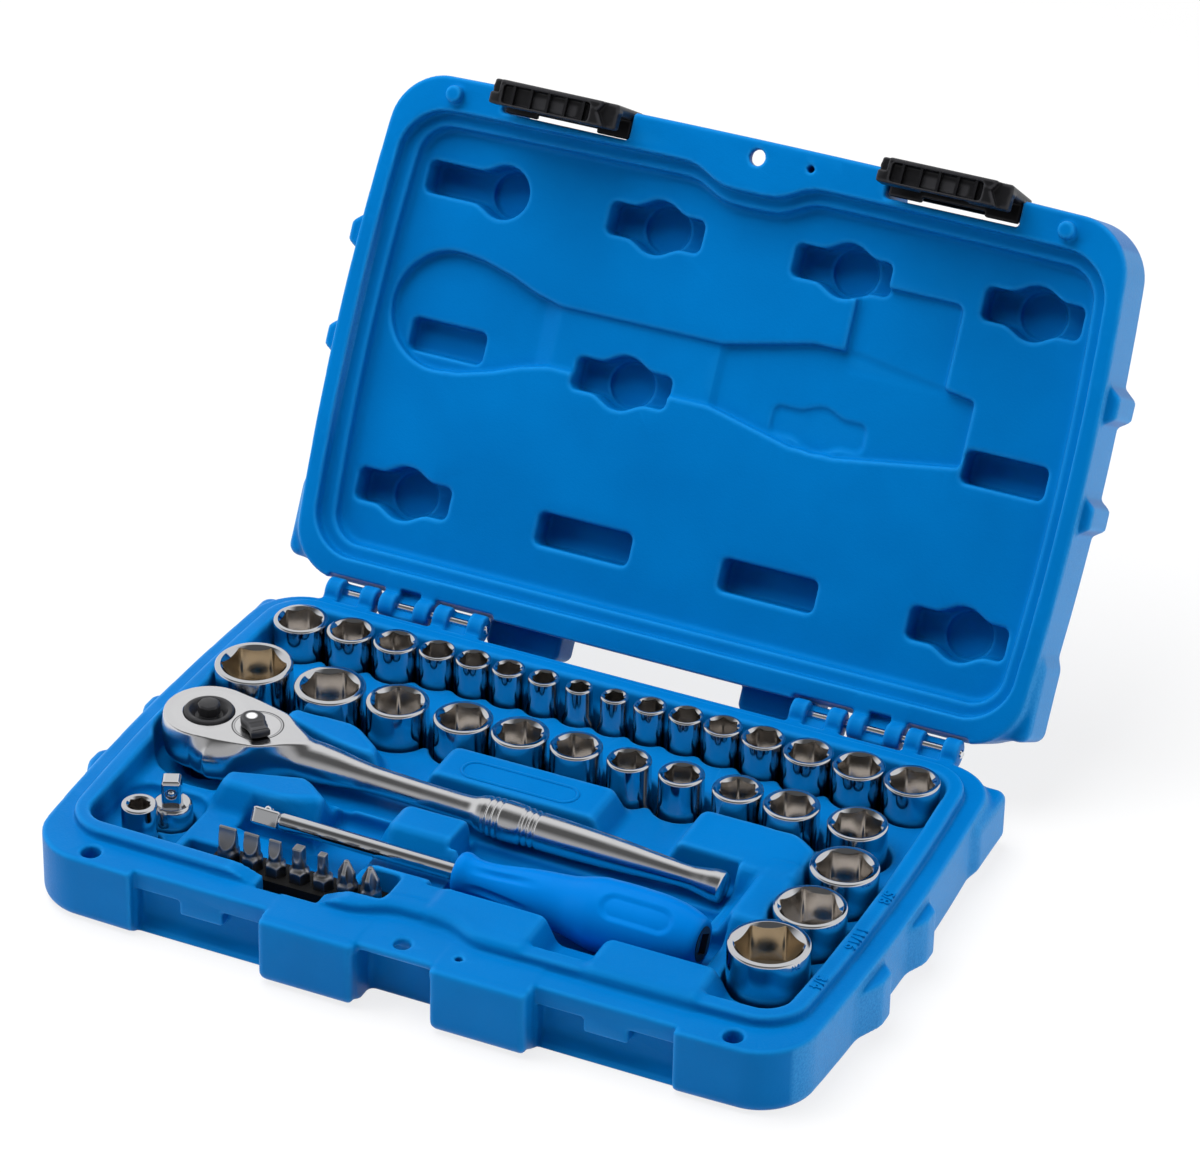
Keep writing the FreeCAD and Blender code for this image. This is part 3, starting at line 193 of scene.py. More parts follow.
GRAIN, SMUDGE, EDGES_GROUP, ROUND_MARK = make_grain(), make_smudge(), make_edges(), make_round_mark()
print("shared effects", [tree.name for tree in (GRAIN, SMUDGE, EDGES_GROUP, ROUND_MARK)])


# %% [markdown]
# ## The finishes
# A finish is a Principled shader. What is the same all over is set on the shader itself, and only what changes over
# the surface is linked. Plastic gets grain as a bump, a painted highlight on its edges and painted shade in its
# corners. The ends of the case are blasted, so they are coarser there, and paler, partly from the blasting and partly
# as a painted sheen of reflected light. Its gloss is tinted, because a white gloss would wash the blue out.

# %% Finish helpers
class Finish:
    """A material under way: its tree, its shader and short ways to add to it."""

    def __init__(self, name, rough, metallic=0.0):
        self.material = bpy.data.materials.new(name)
        self.material.use_nodes = True
        self.tree = self.material.node_tree
        self.shader = self.tree.nodes["Principled BSDF"]
        self.shader.inputs["Roughness"].default_value = rough
        self.shader.inputs["Metallic"].default_value = metallic

    def effect(self, group, **values):
        node = self.tree.nodes.new("ShaderNodeGroup")
        node.node_tree = group
        for name, value in values.items():
            node.inputs[name].default_value = value
        return node.outputs

    def mixed(self, share, first, second):
        """A colour between two others."""
        ends = [(*end, 1.0) if isinstance(end, tuple) else end for end in (first, second)]
        node = put(self.tree, "ShaderNodeMix", {"data_type": "RGBA"})
        for value, socket in zip((share, *ends), (node.inputs[0], node.inputs[6], node.inputs[7])):
            if isinstance(value, bpy.types.NodeSocket):
                self.tree.links.new(value, socket)
            else:
                socket.default_value = value
        return node.outputs[2]

    def link(self, value, name):
        self.tree.links.new(value, self.shader.inputs[name])

    def bump(self, height, depth, strength):
        node = put(self.tree, "ShaderNodeBump", None, Height=height, Distance=depth, Strength=strength)
        self.link(node.outputs[0], "Normal")


# %% Plastic and rubber
SHEEN, GLOSS_TINT = 0.16, (0.12, 0.5, 1.0, 1.0)
# The blasted colour is paler partly from the blasting and partly as a painted sheen of reflected light.
BLASTED_SHEEN, BLASTED_BUMP, BLASTED_FADE = (0.04, 0.28, 0.62), 3.0, 0.001
# How far corners take painted shade and edges take a painted highlight.
PAINTED_SHADE_SHARE, PAINTED_HIGHLIGHT_SHARE, EDGE_SHARP = 0.45, 0.55, 1.1


def outer_ends(tree, from_middle):
    """1 on sideways faces beyond a distance from the middle: the blasted ends of the case, which get a painted sheen.
    """
    where = put(tree, "ShaderNodeTexCoord").outputs["Object"]
    across = maths(tree, "ABSOLUTE", put(tree, "ShaderNodeSeparateXYZ", None, i0=where).outputs["X"])
    facing = put(tree, "ShaderNodeNewGeometry").outputs["Normal"]
    sideways = maths(tree, "ABSOLUTE", put(tree, "ShaderNodeSeparateXYZ", None, i0=facing).outputs["X"])
    beyond = ramp(tree, across, from_middle, from_middle + BLASTED_FADE)
    return maths(tree, "MULTIPLY", beyond, ramp(tree, sideways, 0.55, 0.85))


def plastic(name, lit, deep, edge, rough, grain, depth, strength, blasted_from=None):
    """Moulded plastic: drifting tones, a grained skin, painted highlights on edges and painted shade in corners."""
    finish = Finish(name, rough)
    finish.shader.inputs["Specular IOR Level"].default_value = SHEEN
    if lit[2] > 2 * lit[0]:
        finish.shader.inputs["Specular Tint"].default_value = GLOSS_TINT
    skin_of = finish.effect(GRAIN, Scale=grain)
    bend_marks = finish.effect(EDGES_GROUP, Sharp=EDGE_SHARP)
    tone = finish.mixed(ramp(finish.tree, skin_of["Tone"], 0.3, 0.7), deep, lit)
    # Corners are mixed towards the deep tone: painted shade.
    painted_shade_colour = finish.mixed(maths(finish.tree, "MULTIPLY", bend_marks["Corner"], PAINTED_SHADE_SHARE), tone, deep)
    # Edges are mixed towards the edge colour: a painted highlight.
    colour = finish.mixed(maths(finish.tree, "MULTIPLY", bend_marks["Edge"], PAINTED_HIGHLIGHT_SHARE), painted_shade_colour, edge)
    height = skin_of["Height"]
    if blasted_from:
        ends = outer_ends(finish.tree, blasted_from)
        speck = ramp(finish.tree, height, 0.35, 0.65, 0.35, 0.75)
        # The ends are painted paler in specks of the grain: partly blasting, partly a painted sheen of reflected
        # light.
        colour = finish.mixed(maths(finish.tree, "MULTIPLY", ends, speck), colour, BLASTED_SHEEN)
        height = maths(finish.tree, "MULTIPLY", height, ramp(finish.tree, ends, 0.0, 1.0, 1.0, BLASTED_BUMP))
    finish.link(colour, "Base Color")
    finish.link(ramp(finish.tree, skin_of["Height"], 0.2, 0.8, rough - 0.07, rough + 0.09), "Roughness")
    finish.bump(height, depth, strength)
    return finish.material


# Each plastic's third colour is its painted edge highlight; its second also serves as painted shade in corners.
case_blue = plastic("case_blue", (0.0, 0.150, 0.455), (0.0, 0.132, 0.41), (0.012, 0.24, 0.62), 0.40, 1300.0,
                    0.00022, 0.3, blasted_from=0.128)
handle_blue = plastic("handle_blue", (0.0, 0.17, 0.57), (0.0, 0.155, 0.53), (0.01, 0.27, 0.70), 0.34, 900.0,
                      0.0001, 0.1)
latch_black = plastic("latch_black", (0.008, 0.008, 0.009), (0.006, 0.006, 0.007), (0.04, 0.04, 0.044), 0.34, 1500.0,
                      0.0001, 0.2)
strip_black = plastic("strip_black", (0.008, 0.008, 0.008), (0.005, 0.005, 0.005), (0.02, 0.02, 0.02), 0.6, 900.0,
                      0.0002, 0.4)


# %% [markdown]
# Metal is a mirror with faults. Smudges change how rough it is from place to place, and edges are painted brighter,
# partly as wear from handling and partly as a painted highlight. Chrome plating hardly reaches into a bore, so the
# sockets carry a mark there: at half its value the steel shows bare, and at its full value bronzed, as in the largest
# ones.

# %% Metal
BARE, BRONZED, BARE_ROUGHER = (0.74, 0.71, 0.68), (0.72, 0.65, 0.55), 0.12
WEAR_AND_HIGHLIGHT_SHARE, METAL_GRAIN, METAL_GRAIN_DEEP = 0.6, 500.0, 0.00003


def metal(name, colour, wear_and_highlight, rough, smudge, spread, mark=None, grain=0.0):
    """Bare or plated metal with smudged gloss. A mark names an attribute that shows bare and then bronzed steel."""
    finish = Finish(name, rough, 1.0)
    smudged = finish.effect(SMUDGE, Scale=smudge)["Smudge"]
    bend_marks = finish.effect(EDGES_GROUP, Sharp=1.0)
    # Edges are painted brighter: partly wear, partly a painted highlight.
    tone = finish.mixed(maths(finish.tree, "MULTIPLY", bend_marks["Edge"], WEAR_AND_HIGHLIGHT_SHARE), colour, wear_and_highlight)
    gloss = ramp(finish.tree, smudged, 0.0, 1.0, rough, rough + spread)
    if mark:
        dull = put(finish.tree, "ShaderNodeAttribute", {"attribute_name": mark}).outputs["Fac"]
        bare = ramp(finish.tree, dull, 0.0, 0.5)
        tone = finish.mixed(ramp(finish.tree, dull, 0.5, 1.0), finish.mixed(bare, tone, BARE), BRONZED)
        gloss = maths(finish.tree, "ADD", gloss, maths(finish.tree, "MULTIPLY", bare, BARE_ROUGHER))
    finish.link(tone, "Base Color")
    finish.link(gloss, "Roughness")
    if grain:
        finish.bump(finish.effect(GRAIN, Scale=METAL_GRAIN)["Height"], METAL_GRAIN_DEEP, grain)
    return finish


socket_chrome = metal("socket_chrome", (0.53, 0.54, 0.56), (0.70, 0.70, 0.72), 0.05, 70.0, 0.06, "bore").material
bit_steel = metal("bit_steel", (0.21, 0.21, 0.215), (0.42, 0.42, 0.43), 0.3, 240.0, 0.16, grain=0.1).material
pin_steel = metal("pin_steel", (0.72, 0.73, 0.75), (0.85, 0.85, 0.86), 0.14, 200.0, 0.1).material


# %% [markdown]
# ## Moulded solids from distances
# A blow-moulded case has no sharp edge anywhere: every rim, pocket and step is rounded. Bevels fail where so many
# pockets run into each other, so the case is drawn as a field of distances instead, negative inside the plastic.
# Joining or carving two distances with a rounding radius gives the fillet that a mould has, whatever meets there.
# The surface is then drawn through the cells where the field changes sign.

# %% Distance tools
LATCH_TRIANGLES, END_TRIANGLES, BIT_TRIANGLES = 40000, 16000, 14000
HEAD_TRIANGLES, LEVER_TRIANGLES = 120000, 30000
END_CELL, HEAD_CELL, LEVER_CELL = 0.2, 0.4, 0.25


def round_min(a, b, r):
    """Two solids joined, with a fillet of radius r in the corner between them."""
    return np.maximum(np.minimum(a, b), r) - np.hypot(np.maximum(r - a, 0), np.maximum(r - b, 0))


def round_max(a, b, r):
    """What two solids share, with the edge between them rounded by r."""
    return np.minimum(np.maximum(a, b), -r) + np.hypot(np.maximum(a + r, 0), np.maximum(b + r, 0))


def disc(x0, f0, r):
    return lambda x, f: np.hypot(x - x0, f - f0) - r


def panel(left, right, rear, front, corner):
    """A rectangle with round corners, seen from above."""
    middle_x, middle_f = (left + right) / 2, (rear + front) / 2
    half_x, half_f = (right - left) / 2 - corner, (front - rear) / 2 - corner

    def distance(x, f):
        dx, df = np.abs(x - middle_x) - half_x, np.abs(f - middle_f) - half_f
        return np.hypot(np.maximum(dx, 0), np.maximum(df, 0)) + np.minimum(np.maximum(dx, df), 0) - corner
    return distance


def upright(plan, low, high, r, draft=0.0):
    """A solid between two heights with a plan outline. With draft it narrows upwards from its foot."""
    def distance(x, f, z):
        return round_max(plan(x, f) + draft * (z - low), np.maximum(low - z, z - high), r)
    return distance


class Moulding:
    """A solid kept as distances on a grid. The middle axis is the row's Y, and shapes see it from the hinge."""

    def __init__(self, low, high, step, hinge_y=0.0):
        self.step = step
        self.hinge_y = hinge_y
        self.axes = [np.arange(a - 2.5 * step, b + 3 * step, step) for a, b in zip(low, high)]
        self.d = np.full([len(a) for a in self.axes], 40.0, np.float32)

    def window(self, left, right, rear, front):
        """The part of the grid over a stretch of the plan, and its coordinates."""
        spans = ((left, right), (self.hinge_y - front, self.hinge_y - rear))
        cuts = tuple(slice(*np.searchsorted(axis, span)) for axis, span in zip(self.axes, spans))
        x = self.axes[0][cuts[0], None, None]
        f = self.hinge_y - self.axes[1][None, cuts[1], None]
        return cuts, x, f, self.axes[2][None, None, :]

    def whole(self):
        return (self.axes[0][0], self.axes[0][-1] + 1, self.hinge_y - self.axes[1][-1] - 1,
                self.hinge_y - self.axes[1][0])

    def join(self, shape, r, over=None):
        cuts, x, f, z = self.window(*(over or self.whole()))
        self.d[cuts] = round_min(self.d[cuts], shape(x, f, z), r)

    def carve(self, shape, r, over=None):
        cuts, x, f, z = self.window(*(over or self.whole()))
        self.d[cuts] = round_max(self.d[cuts], -shape(x, f, z), r)


CORNERS = np.array([(i & 1, i >> 1 & 1, i >> 2 & 1) for i in range(8)])
EDGES = [(a, b) for a in range(8) for b in range(a + 1, 8) if bin(a ^ b).count("1") == 1]


def skin(axes, d):
    """Points and four-sided faces on the surface where the distances change sign."""
    inside = d < 0
    spots = [tuple(slice(c, n - 1 + c) for c, n in zip(corner, d.shape)) for corner in CORNERS]
    count = sum(inside[s].astype(np.int8) for s in spots)
    cells = np.argwhere((count > 0) & (count < 8))
    values = np.stack([d[tuple((cells + c).T)] for c in CORNERS], 1)
    total = np.zeros((len(cells), 3))
    crossings = np.zeros(len(cells))
    for a, b in EDGES:
        first, last = values[:, a], values[:, b]
        meets = (first < 0) != (last < 0)
        share = first[meets] / (first[meets] - last[meets])
        total[meets] += CORNERS[a] + (CORNERS[b] - CORNERS[a]) * share[:, None]
        crossings[meets] += 1
    step = axes[0][1] - axes[0][0]
    points = np.array([axis[0] for axis in axes]) + step * (cells + total / crossings[:, None])
    number = np.full([n - 1 for n in d.shape], -1, np.int32)
    number[tuple(cells.T)] = np.arange(len(cells))
    faces = []
    for axis in range(3):
        ahead = [slice(None)] * 3
        behind = [slice(None)] * 3
        ahead[axis], behind[axis] = slice(1, None), slice(None, -1)
        low = inside[tuple(behind)]
        ends = np.argwhere(low != inside[tuple(ahead)])
        u, v = np.eye(3, dtype=int)[(axis + 1) % 3], np.eye(3, dtype=int)[(axis + 2) % 3]
        ring = np.stack([number[tuple((ends + o).T)] for o in (-u - v, -v, 0 * u, -u)], 1)
        flip = ~low[tuple(ends.T)]
        ring[flip] = ring[flip][:, ::-1]
        faces.append(ring)
    return points, np.concatenate(faces)


def sample(axes, values, points):
    """Values of a field at points, smoothly between the grid's own."""
    spot = [np.clip((points[:, i] - axis[0]) / (axis[1] - axis[0]), 0, len(axis) - 1.001)
            for i, axis in enumerate(axes)]
    base = [s.astype(int) for s in spot]
    share = [s - b for s, b in zip(spot, base)]
    result = np.zeros(len(points))
    for corner in CORNERS:
        weight = np.ones(len(points))
        for c, t in zip(corner, share):
            weight = weight * (t if c else 1 - t)
        result += weight * values[tuple(b + c for b, c in zip(base, corner))]
    return result


def curvature(axes, d):
    """How sharply the surface bends at each point of the grid: above 0 on edges, below 0 in corners."""
    step = axes[0][1] - axes[0][0]
    bend = np.zeros_like(d)
    for axis in range(3):
        bend += np.roll(d, 1, axis) + np.roll(d, -1, axis) - 2 * d
    return np.clip(bend / step ** 2, -1.5, 1.5)


def moulded_piece(name, moulding, most, turn=Matrix.Identity(4)):
    """A mesh piece of a moulding, thinned to at most so many triangles, with its edges marked."""
    points, faces = skin(moulding.axes, moulding.d)
    piece = add_mesh(name, points, faces)
    thin = piece.modifiers.new("thin", "DECIMATE")
    thin.ratio = min(1.0, most / (2 * len(faces)))
    settle(piece)
    where = np.zeros(len(piece.data.vertices) * 3, np.float32)
    piece.data.vertices.foreach_get("co", where)
    marks = sample(moulding.axes, curvature(moulding.axes, moulding.d), where.reshape(-1, 3))
    edge = piece.data.attributes.new("edge", "FLOAT", "POINT")
    edge.data.foreach_set("value", marks.astype(np.float32))
    piece.data.transform(Matrix.Scale(MM, 4) @ turn)
    piece.data.shade_smooth()
    print(name, len(faces), "cells, kept", len(piece.data.polygons), "faces")
    return piece


# %% [markdown]
# ## The case's plan
# Both halves share one plan: a straight rear edge along the hinge, bowed sides and a slightly bowed front. The lip
# round the tray follows the same plan further in, and dips round the hole in the middle of the front rim.

# %% Plans of the case
HALF_WIDTH, SIDE_BULGE = 131.0, 4.0
FRONT, FRONT_BULGE = 178.3, 2.0
BASE_BACK, LID_BACK = 6.0, 3.5
LIP_HALF, LIP_BULGE, LIP_FRONT, LIP_FRONT_BULGE, LIP_BACK = 125.0, 3.2, 166.0, 1.5, 12.5
LIP_CORNER, LIP_BAND, LIP_HIGH, LIP_PLAY, LIP_LAND = 14.0, 5.8, 3.5, 0.8, 1.2
HOLE_FRONT, HOLE_RADIUS, HOLE_LAND, LAND_HALF = FRONT - 4.0, 2.8, 6.0, 17.0
CASE_CORNER, LID_DEEP = 17.0, 27.0


def bowed(half, bulge, front, front_bulge, back, corner, land=0.0):
    """Distance from a bowed outline, with the front drawn back by land round the middle."""
    middle, reach = (front + back) / 2, (front - back) / 2

    def distance(x, f):
        side = np.abs(x) - half - bulge * (1 - ((f - middle) / reach) ** 2)
        dent = land * np.exp(-(np.abs(x) / LAND_HALF) ** 4)
        ahead = f - front - front_bulge * (1 - (x / half) ** 2) + dent
        return round_max(round_max(side, ahead, corner), back - f, corner)
    return distance


def case_plan(back):
    return bowed(HALF_WIDTH, SIDE_BULGE, FRONT, FRONT_BULGE, back, CASE_CORNER)


def lip_plan(grow):
    """The lip's outline, grown outwards."""
    return bowed(LIP_HALF + grow, LIP_BULGE, LIP_FRONT + grow, LIP_FRONT_BULGE, LIP_BACK - grow, LIP_CORNER + grow,
                 HOLE_LAND)


# %% [markdown]
# ## What both halves of the case carry outside
# Upright ribs and rear bumpers guard the ends, feet at the back stop the lid, and both halves are cut back round
# the hinge and round the two latches. The lid has the same things as the base, measured from the rim the other way.

# %% Outside of the case
END_FROM, END_TO = 120.0, 145.0
RIB_ROOT, RIB_REACH, RIB_FACE, RIB_FROM_HINGE = 118.0, 139.0, 3.4, (84.0, 120.5)
BASE_FLARES, LID_FLARES = (2.2, 1.0), (0.8, 0.7)
BUMPER_REACH, BUMPER_REAR, BUMPER_FRONT = 135.5, 8.0, 36.0
RIB_MARGIN = 3.2
LATCH_X, LATCH_HALF = 69.5, 23.5
HINGE_MIDDLE, KNUCKLE_PITCH, KNUCKLE_RADIUS, KNUCKLE_LONG = 85.7, 20.3, 4.5, 18.6
WINDOW_HALF, PIN_SHOWS = 3.7, 0.2
FOOT_INNER, FOOT_OUTER, FOOT_REACH, FOOT_ROOT = 33.0, 60.0, 6.0, 14.0
BOSS_X, BOSS_F, BOSS_RADIUS, BOSS_HOLE = 110.0, FRONT - 5.3, 2.9, 3.2
VENT_X, VENT_RADIUS = 19.2, 1.3
BEYOND = 210.0
FOOT_DROP = FOOT_REACH * math.tan(math.radians(OPEN_ANGLE / 2)) + 0.25


def wedge(side, back, flares):
    """A rib that narrows outwards to a flat face, seen from above. Its front and rear flanks flare differently."""
    def distance(x, f):
        out = side * x
        flare = np.where(f > back, *flares)
        flank = (np.abs(f - back) - RIB_FACE - flare * (RIB_REACH - out)) / np.hypot(1, flare)
        return round_max(np.maximum(out - RIB_REACH, RIB_ROOT - out), flank, 0.7)
    return distance


def add_ribs(half, low, high, flares):
    """Ribs and bumpers on both ends, between two heights."""
    for side in (1, -1):
        ends = sorted((side * END_FROM, side * END_TO))
        for back in RIB_FROM_HINGE:
            half.join(upright(wedge(side, back, flares), low, high, 1.2), 0.9, (*ends, back - 32, back + 32))
        edges = sorted((side * END_FROM, side * BUMPER_REACH))
        bumper = upright(panel(*edges, BUMPER_REAR, BUMPER_FRONT, 4.0), low, high, 2.5)
        half.join(bumper, 3.0, (*ends, BUMPER_REAR - 8, BUMPER_FRONT + 8))


def add_feet(half, low, high):
    for side in (1, -1):
        edges = sorted((side * FOOT_INNER, side * FOOT_OUTER))
        foot = upright(panel(*edges, -FOOT_REACH, FOOT_ROOT, 3.0), low, high, 2.0)
        half.join(foot, 1.5, (edges[0] - 8, edges[1] + 8, -12, 22))


def clear_hinge(half):
    """Room for the knuckles, a round trough along the hinge line."""
    reach = 1.5 * KNUCKLE_PITCH + 0.4
    for side in (1, -1):
        middle = side * HINGE_MIDDLE

        def trough(x, f, z):
            return round_max(np.hypot(f, z - RIM) - KNUCKLE_RADIUS - 0.9, np.abs(x - middle) - reach, 0.5)
        half.carve(trough, 0.8, (middle - reach - 8, middle + reach + 8, -10, 16))


def add_knuckles(half, slots, web, opens):
    """Knuckles on both hinges, each joined to its half by a web and with a window that shows the pin."""
    for middle in [side * (HINGE_MIDDLE + slot * KNUCKLE_PITCH) for side in (1, -1) for slot in slots]:
        over = (middle - 16, middle + 16, -10, 18)
        ends = (middle - KNUCKLE_LONG / 2, middle + KNUCKLE_LONG / 2)

        def tube(x, f, z):
            return round_max(np.hypot(f, z - RIM) - KNUCKLE_RADIUS, np.abs(x - middle) - KNUCKLE_LONG / 2, 0.9)

        def window(x, f, z):
            beyond = PIN_SHOWS - opens[0] * f - opens[1] * (z - RIM)
            near = np.hypot(f, z - RIM) - KNUCKLE_RADIUS - 1.5
            return np.maximum(np.maximum(np.abs(x - middle) - WINDOW_HALF, beyond), near)
        half.join(tube, 0.6, over)
        half.join(upright(panel(*ends, 0.0, 11.0, 0.8), *web, 0.8), 0.8, over)
        half.carve(window, 0.7, over)


WINDOW_FACES = (0.35, 0.94)


def swung_shut(forwards, up):
    """A direction on the open lid, as it lies when the lid is shut."""
    turn = math.radians(OPEN_ANGLE)
    return (forwards * math.cos(turn) + up * math.sin(turn), up * math.cos(turn) - forwards * math.sin(turn))


def drill(half, x0, f0, r, low, high, edge=0.5):
    half.carve(upright(disc(x0, f0, r), low, high, 0.3), edge, (x0 - r - 4, x0 + r + 4, f0 - r - 4, f0 + r + 4))


# %% [markdown]
# ## The base and its tray
# The base is one deep moulding. A lip rises round the tray and the lid closes over it. Each socket stands in a round
# pocket, and neighbouring pockets run into each other, so their edges make the scalloped line along every row. The
# pockets take their places from the sockets themselves, so nothing can stand beside its hole.

# %% Where the tools stand
sockets = sorted(name for name in frame["nodes"] if "_socket_" in name)


def standing(name):
    """Middle and outside radius of an upright tool, in millimetres from the hinge."""
    low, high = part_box(name)
    return (low.x + high.x) / 2 / MM, HINGE_Y - (low.y + high.y) / 2 / MM, (high.x - low.x) / 2 / MM


ROOM = 1.3
SOCKET_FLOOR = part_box(sockets[0])[0].z / MM
TRAY_FLOOR = RIM - 4.7
BLOCK_TOP = RIM + 4.6
ratchet_spot = Vector(joints["drive_spin"]["pos_m"]) / MM
RATCHET_YAW, RATCHET_PITCH = math.radians(-1.2), math.radians(1.1)
SPINNER_YAW = math.radians(-0.9)
spinner_spot = (-74.0, 131.6, RIM)
print("ratchet at", ratchet_spot[:], "floor of the pockets at", SOCKET_FLOOR)


def along(x0, f0, yaw):
    """Coordinates along and across a tool that lies in the tray."""
    cosine, sine = math.cos(yaw), math.sin(yaw)

    def turn(x, f):
        return (x - x0) * cosine - (f - f0) * sine, -(x - x0) * sine - (f - f0) * cosine
    return turn


ratchet_line = along(ratchet_spot.x, HINGE_Y - ratchet_spot.y, RATCHET_YAW)
spinner_line = along(spinner_spot[0], spinner_spot[1], SPINNER_YAW)

# %% [markdown]
# The tools that lie down have rooms of their own. A room is drawn along the tool and across it, so it turns with the
# tool: the ratchet's follows its head, its neck and its grip, with a deeper place where fingers reach under.

# %% Pockets of the tray
QUARTER_ROW = [standing(name) for name in sockets if name.startswith("quarter")]
EIGHTHS = [standing(name) for name in sockets if name.startswith("three")]


def scallops(places, soft):
    """Round pockets that run into each other."""
    def plan(x, f):
        result = None
        for x0, f0, r in places:
            hole = disc(x0, f0, r + ROOM)(x, f)
            result = hole if result is None else round_min(result, hole, soft)
        return result
    return plan


def carve_rows(base):
    for places in (QUARTER_ROW, EIGHTHS[:11], EIGHTHS[10:]):
        over = (min(p[0] for p in places) - 20, max(p[0] for p in places) + 20,
                min(p[1] for p in places) - 20, max(p[1] for p in places) + 20)
        base.carve(upright(scallops(places, 3.0), SOCKET_FLOOR, RIM + 30, 1.5), 1.3, over)


HEAD_ROOM, LEVER_ROOM, LEVER_ROOM_AT = 17.6, 19.0, 7.5
NEAR_HALF, NEAR_TAPER, NEAR_FROM = 19.8, 0.33, 21.0
FAR_HALF, FAR_TAPER, FAR_FROM = 19.5, 0.29, 8.0
NECK_ROOM_END, GRIP_ROOM, GRIP_ROOM_START, GRIP_ROOM_END = 56.0, 8.6, 30.0, 186.0
ROOM_STEPS, ROOM_DEPTHS = (24.0, 40.0), (11.0, 7.0)
SQUARE_ROOM, FINGERS_ASIDE, FINGERS_HALF, FINGERS_START, FINGERS_DEEP = 9.0, 14.5, 9.0, 100.0, 10.0


def stretch(s, t, half, start, end):
    """A straight room along a tool, from above."""
    return np.maximum(np.abs(t) - half, np.maximum(start - s, s - end))


def ratchet_room(x, f, z):
    """A pocket for the head, a channel for the handle and a deeper place for fingers beside it."""
    s, t = ratchet_line(x, f)
    head = round_min(np.hypot(s, t) - HEAD_ROOM, np.hypot(s - LEVER_ROOM_AT, t) - LEVER_ROOM, 8.0)
    near = -t - NEAR_HALF + NEAR_TAPER * np.maximum(s - NEAR_FROM, 0)
    far = t - FAR_HALF + FAR_TAPER * np.maximum(s - FAR_FROM, 0)
    neck = np.maximum(np.maximum(near, far), np.maximum(-s, s - NECK_ROOM_END))
    grip = stretch(s, t, GRIP_ROOM, GRIP_ROOM_START, GRIP_ROOM_END)
    plan = round_min(round_min(head, neck, 4.0), grip, 4.0)
    shallow = round_max(plan, RIM - np.interp(s, ROOM_STEPS, ROOM_DEPTHS) - z, 2.0)
    square = round_max(np.hypot(s, t) - SQUARE_ROOM, SOCKET_FLOOR + 0.5 - z, 1.0)
    side = stretch(s, t + FINGERS_ASIDE, FINGERS_HALF, FINGERS_START, GRIP_ROOM_END)
    fingers = round_max(side, RIM - FINGERS_DEEP - z, 2.5)
    return np.minimum(round_min(shallow, fingers, 1.0), square)


BAR_ROOM, BAR_ROOM_DEEP = (4.8, -2.5, 76.0), 5.2
HANDLE_ROOM, HANDLE_ROOM_DEEP = (13.6, 69.0, 159.5), 12.2


def spinner_room(x, f, z):
    s, t = spinner_line(x, f)
    bar = round_max(stretch(s, t, *BAR_ROOM), RIM - BAR_ROOM_DEEP - z, 1.5)
    return np.minimum(bar, round_max(stretch(s, t, *HANDLE_ROOM), RIM - HANDLE_ROOM_DEEP - z, 4.0))


SHANK_PANEL, BEHIND_PANEL = panel(-79.0, -33.0, 127.0, 150.0, 3.0), panel(-55.0, -34.0, 109.0, 150.0, 3.0)
SHANK_DEEP = 12.0
LAND_CORNER, LAND_SLANT = (-66.2, 134.1), (-0.741, 0.668)


def shank_room(x, f, z):
    """A deep place under the spinner's bar, with a slanting end towards the bits."""
    from_x, from_f = x - LAND_CORNER[0], f - LAND_CORNER[1]
    land = np.minimum(from_f, LAND_SLANT[1] * from_f + LAND_SLANT[0] * from_x)
    plan = np.minimum(np.maximum(SHANK_PANEL(x, f), land), BEHIND_PANEL(x, f))
    return round_max(plan, RIM - SHANK_DEEP - z, 3.0)


GAP_LEFT, GAP_RIGHT, GAP_REAR, GAP_FRONT = -55.0, -33.4, 155.0, 167.0
GAP_SLOPES = (2.6, 1.8)


def lip_gap(x, f, z):
    """Where the lip stops before the bits. Its ends slope down to the rim."""
    rise = np.maximum(z - RIM, 0)
    left, right = GAP_LEFT - GAP_SLOPES[0] * rise - x, x - GAP_RIGHT - GAP_SLOPES[1] * rise
    ends = np.maximum(left * 0.36, right * 0.48)
    return np.maximum(np.maximum(ends, SOCKET_FLOOR - z), np.maximum(GAP_REAR - f, f - GAP_FRONT))


WELL, WELL_DEEP = panel(-120.0, -92.5, 124.0, 160.0, 7.0), 9.0


def carve_tools(base):
    base.carve(ratchet_room, 1.5, (-132, 92, 74, 132))
    base.carve(spinner_room, 1.5, (-84, 96, 110, 156))
    base.carve(shank_room, 1.5, (-90, -24, 100, 158))
    base.carve(upright(WELL, RIM - WELL_DEEP, RIM + 30, 3.0), 1.5, (-130, -84, 116, 168))
    for x0, f0, r in (standing("drive_adapter"), standing("bit_holder")):
        hole = upright(disc(x0, f0, r + 1.0), SOCKET_FLOOR, RIM + 30, 0.8)
        base.carve(hole, 1.0, (x0 - 16, x0 + 16, f0 - 16, f0 + 16))
    low, high = ([value / MM for value in corner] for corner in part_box("bit_strip"))
    strip = panel(low[0] - 12.0, high[0] + 2.4, HINGE_Y - high[1] - 0.8, HINGE_Y - low[1] + 2.6, 2.0)
    over = (low[0] - 20, high[0] + 10, 138, 172)
    base.carve(upright(strip, SOCKET_FLOOR, RIM + 30, 0.6), 1.0, over)
    base.carve(lip_gap, 0.7, over)


# %% [markdown]
# Blocks stand up from the tray's floor and keep the tools apart. Their sides slope, because a mould has to let go of
# them, and some corners are bevelled. They stay inside the lip, so the lid can shut over it.

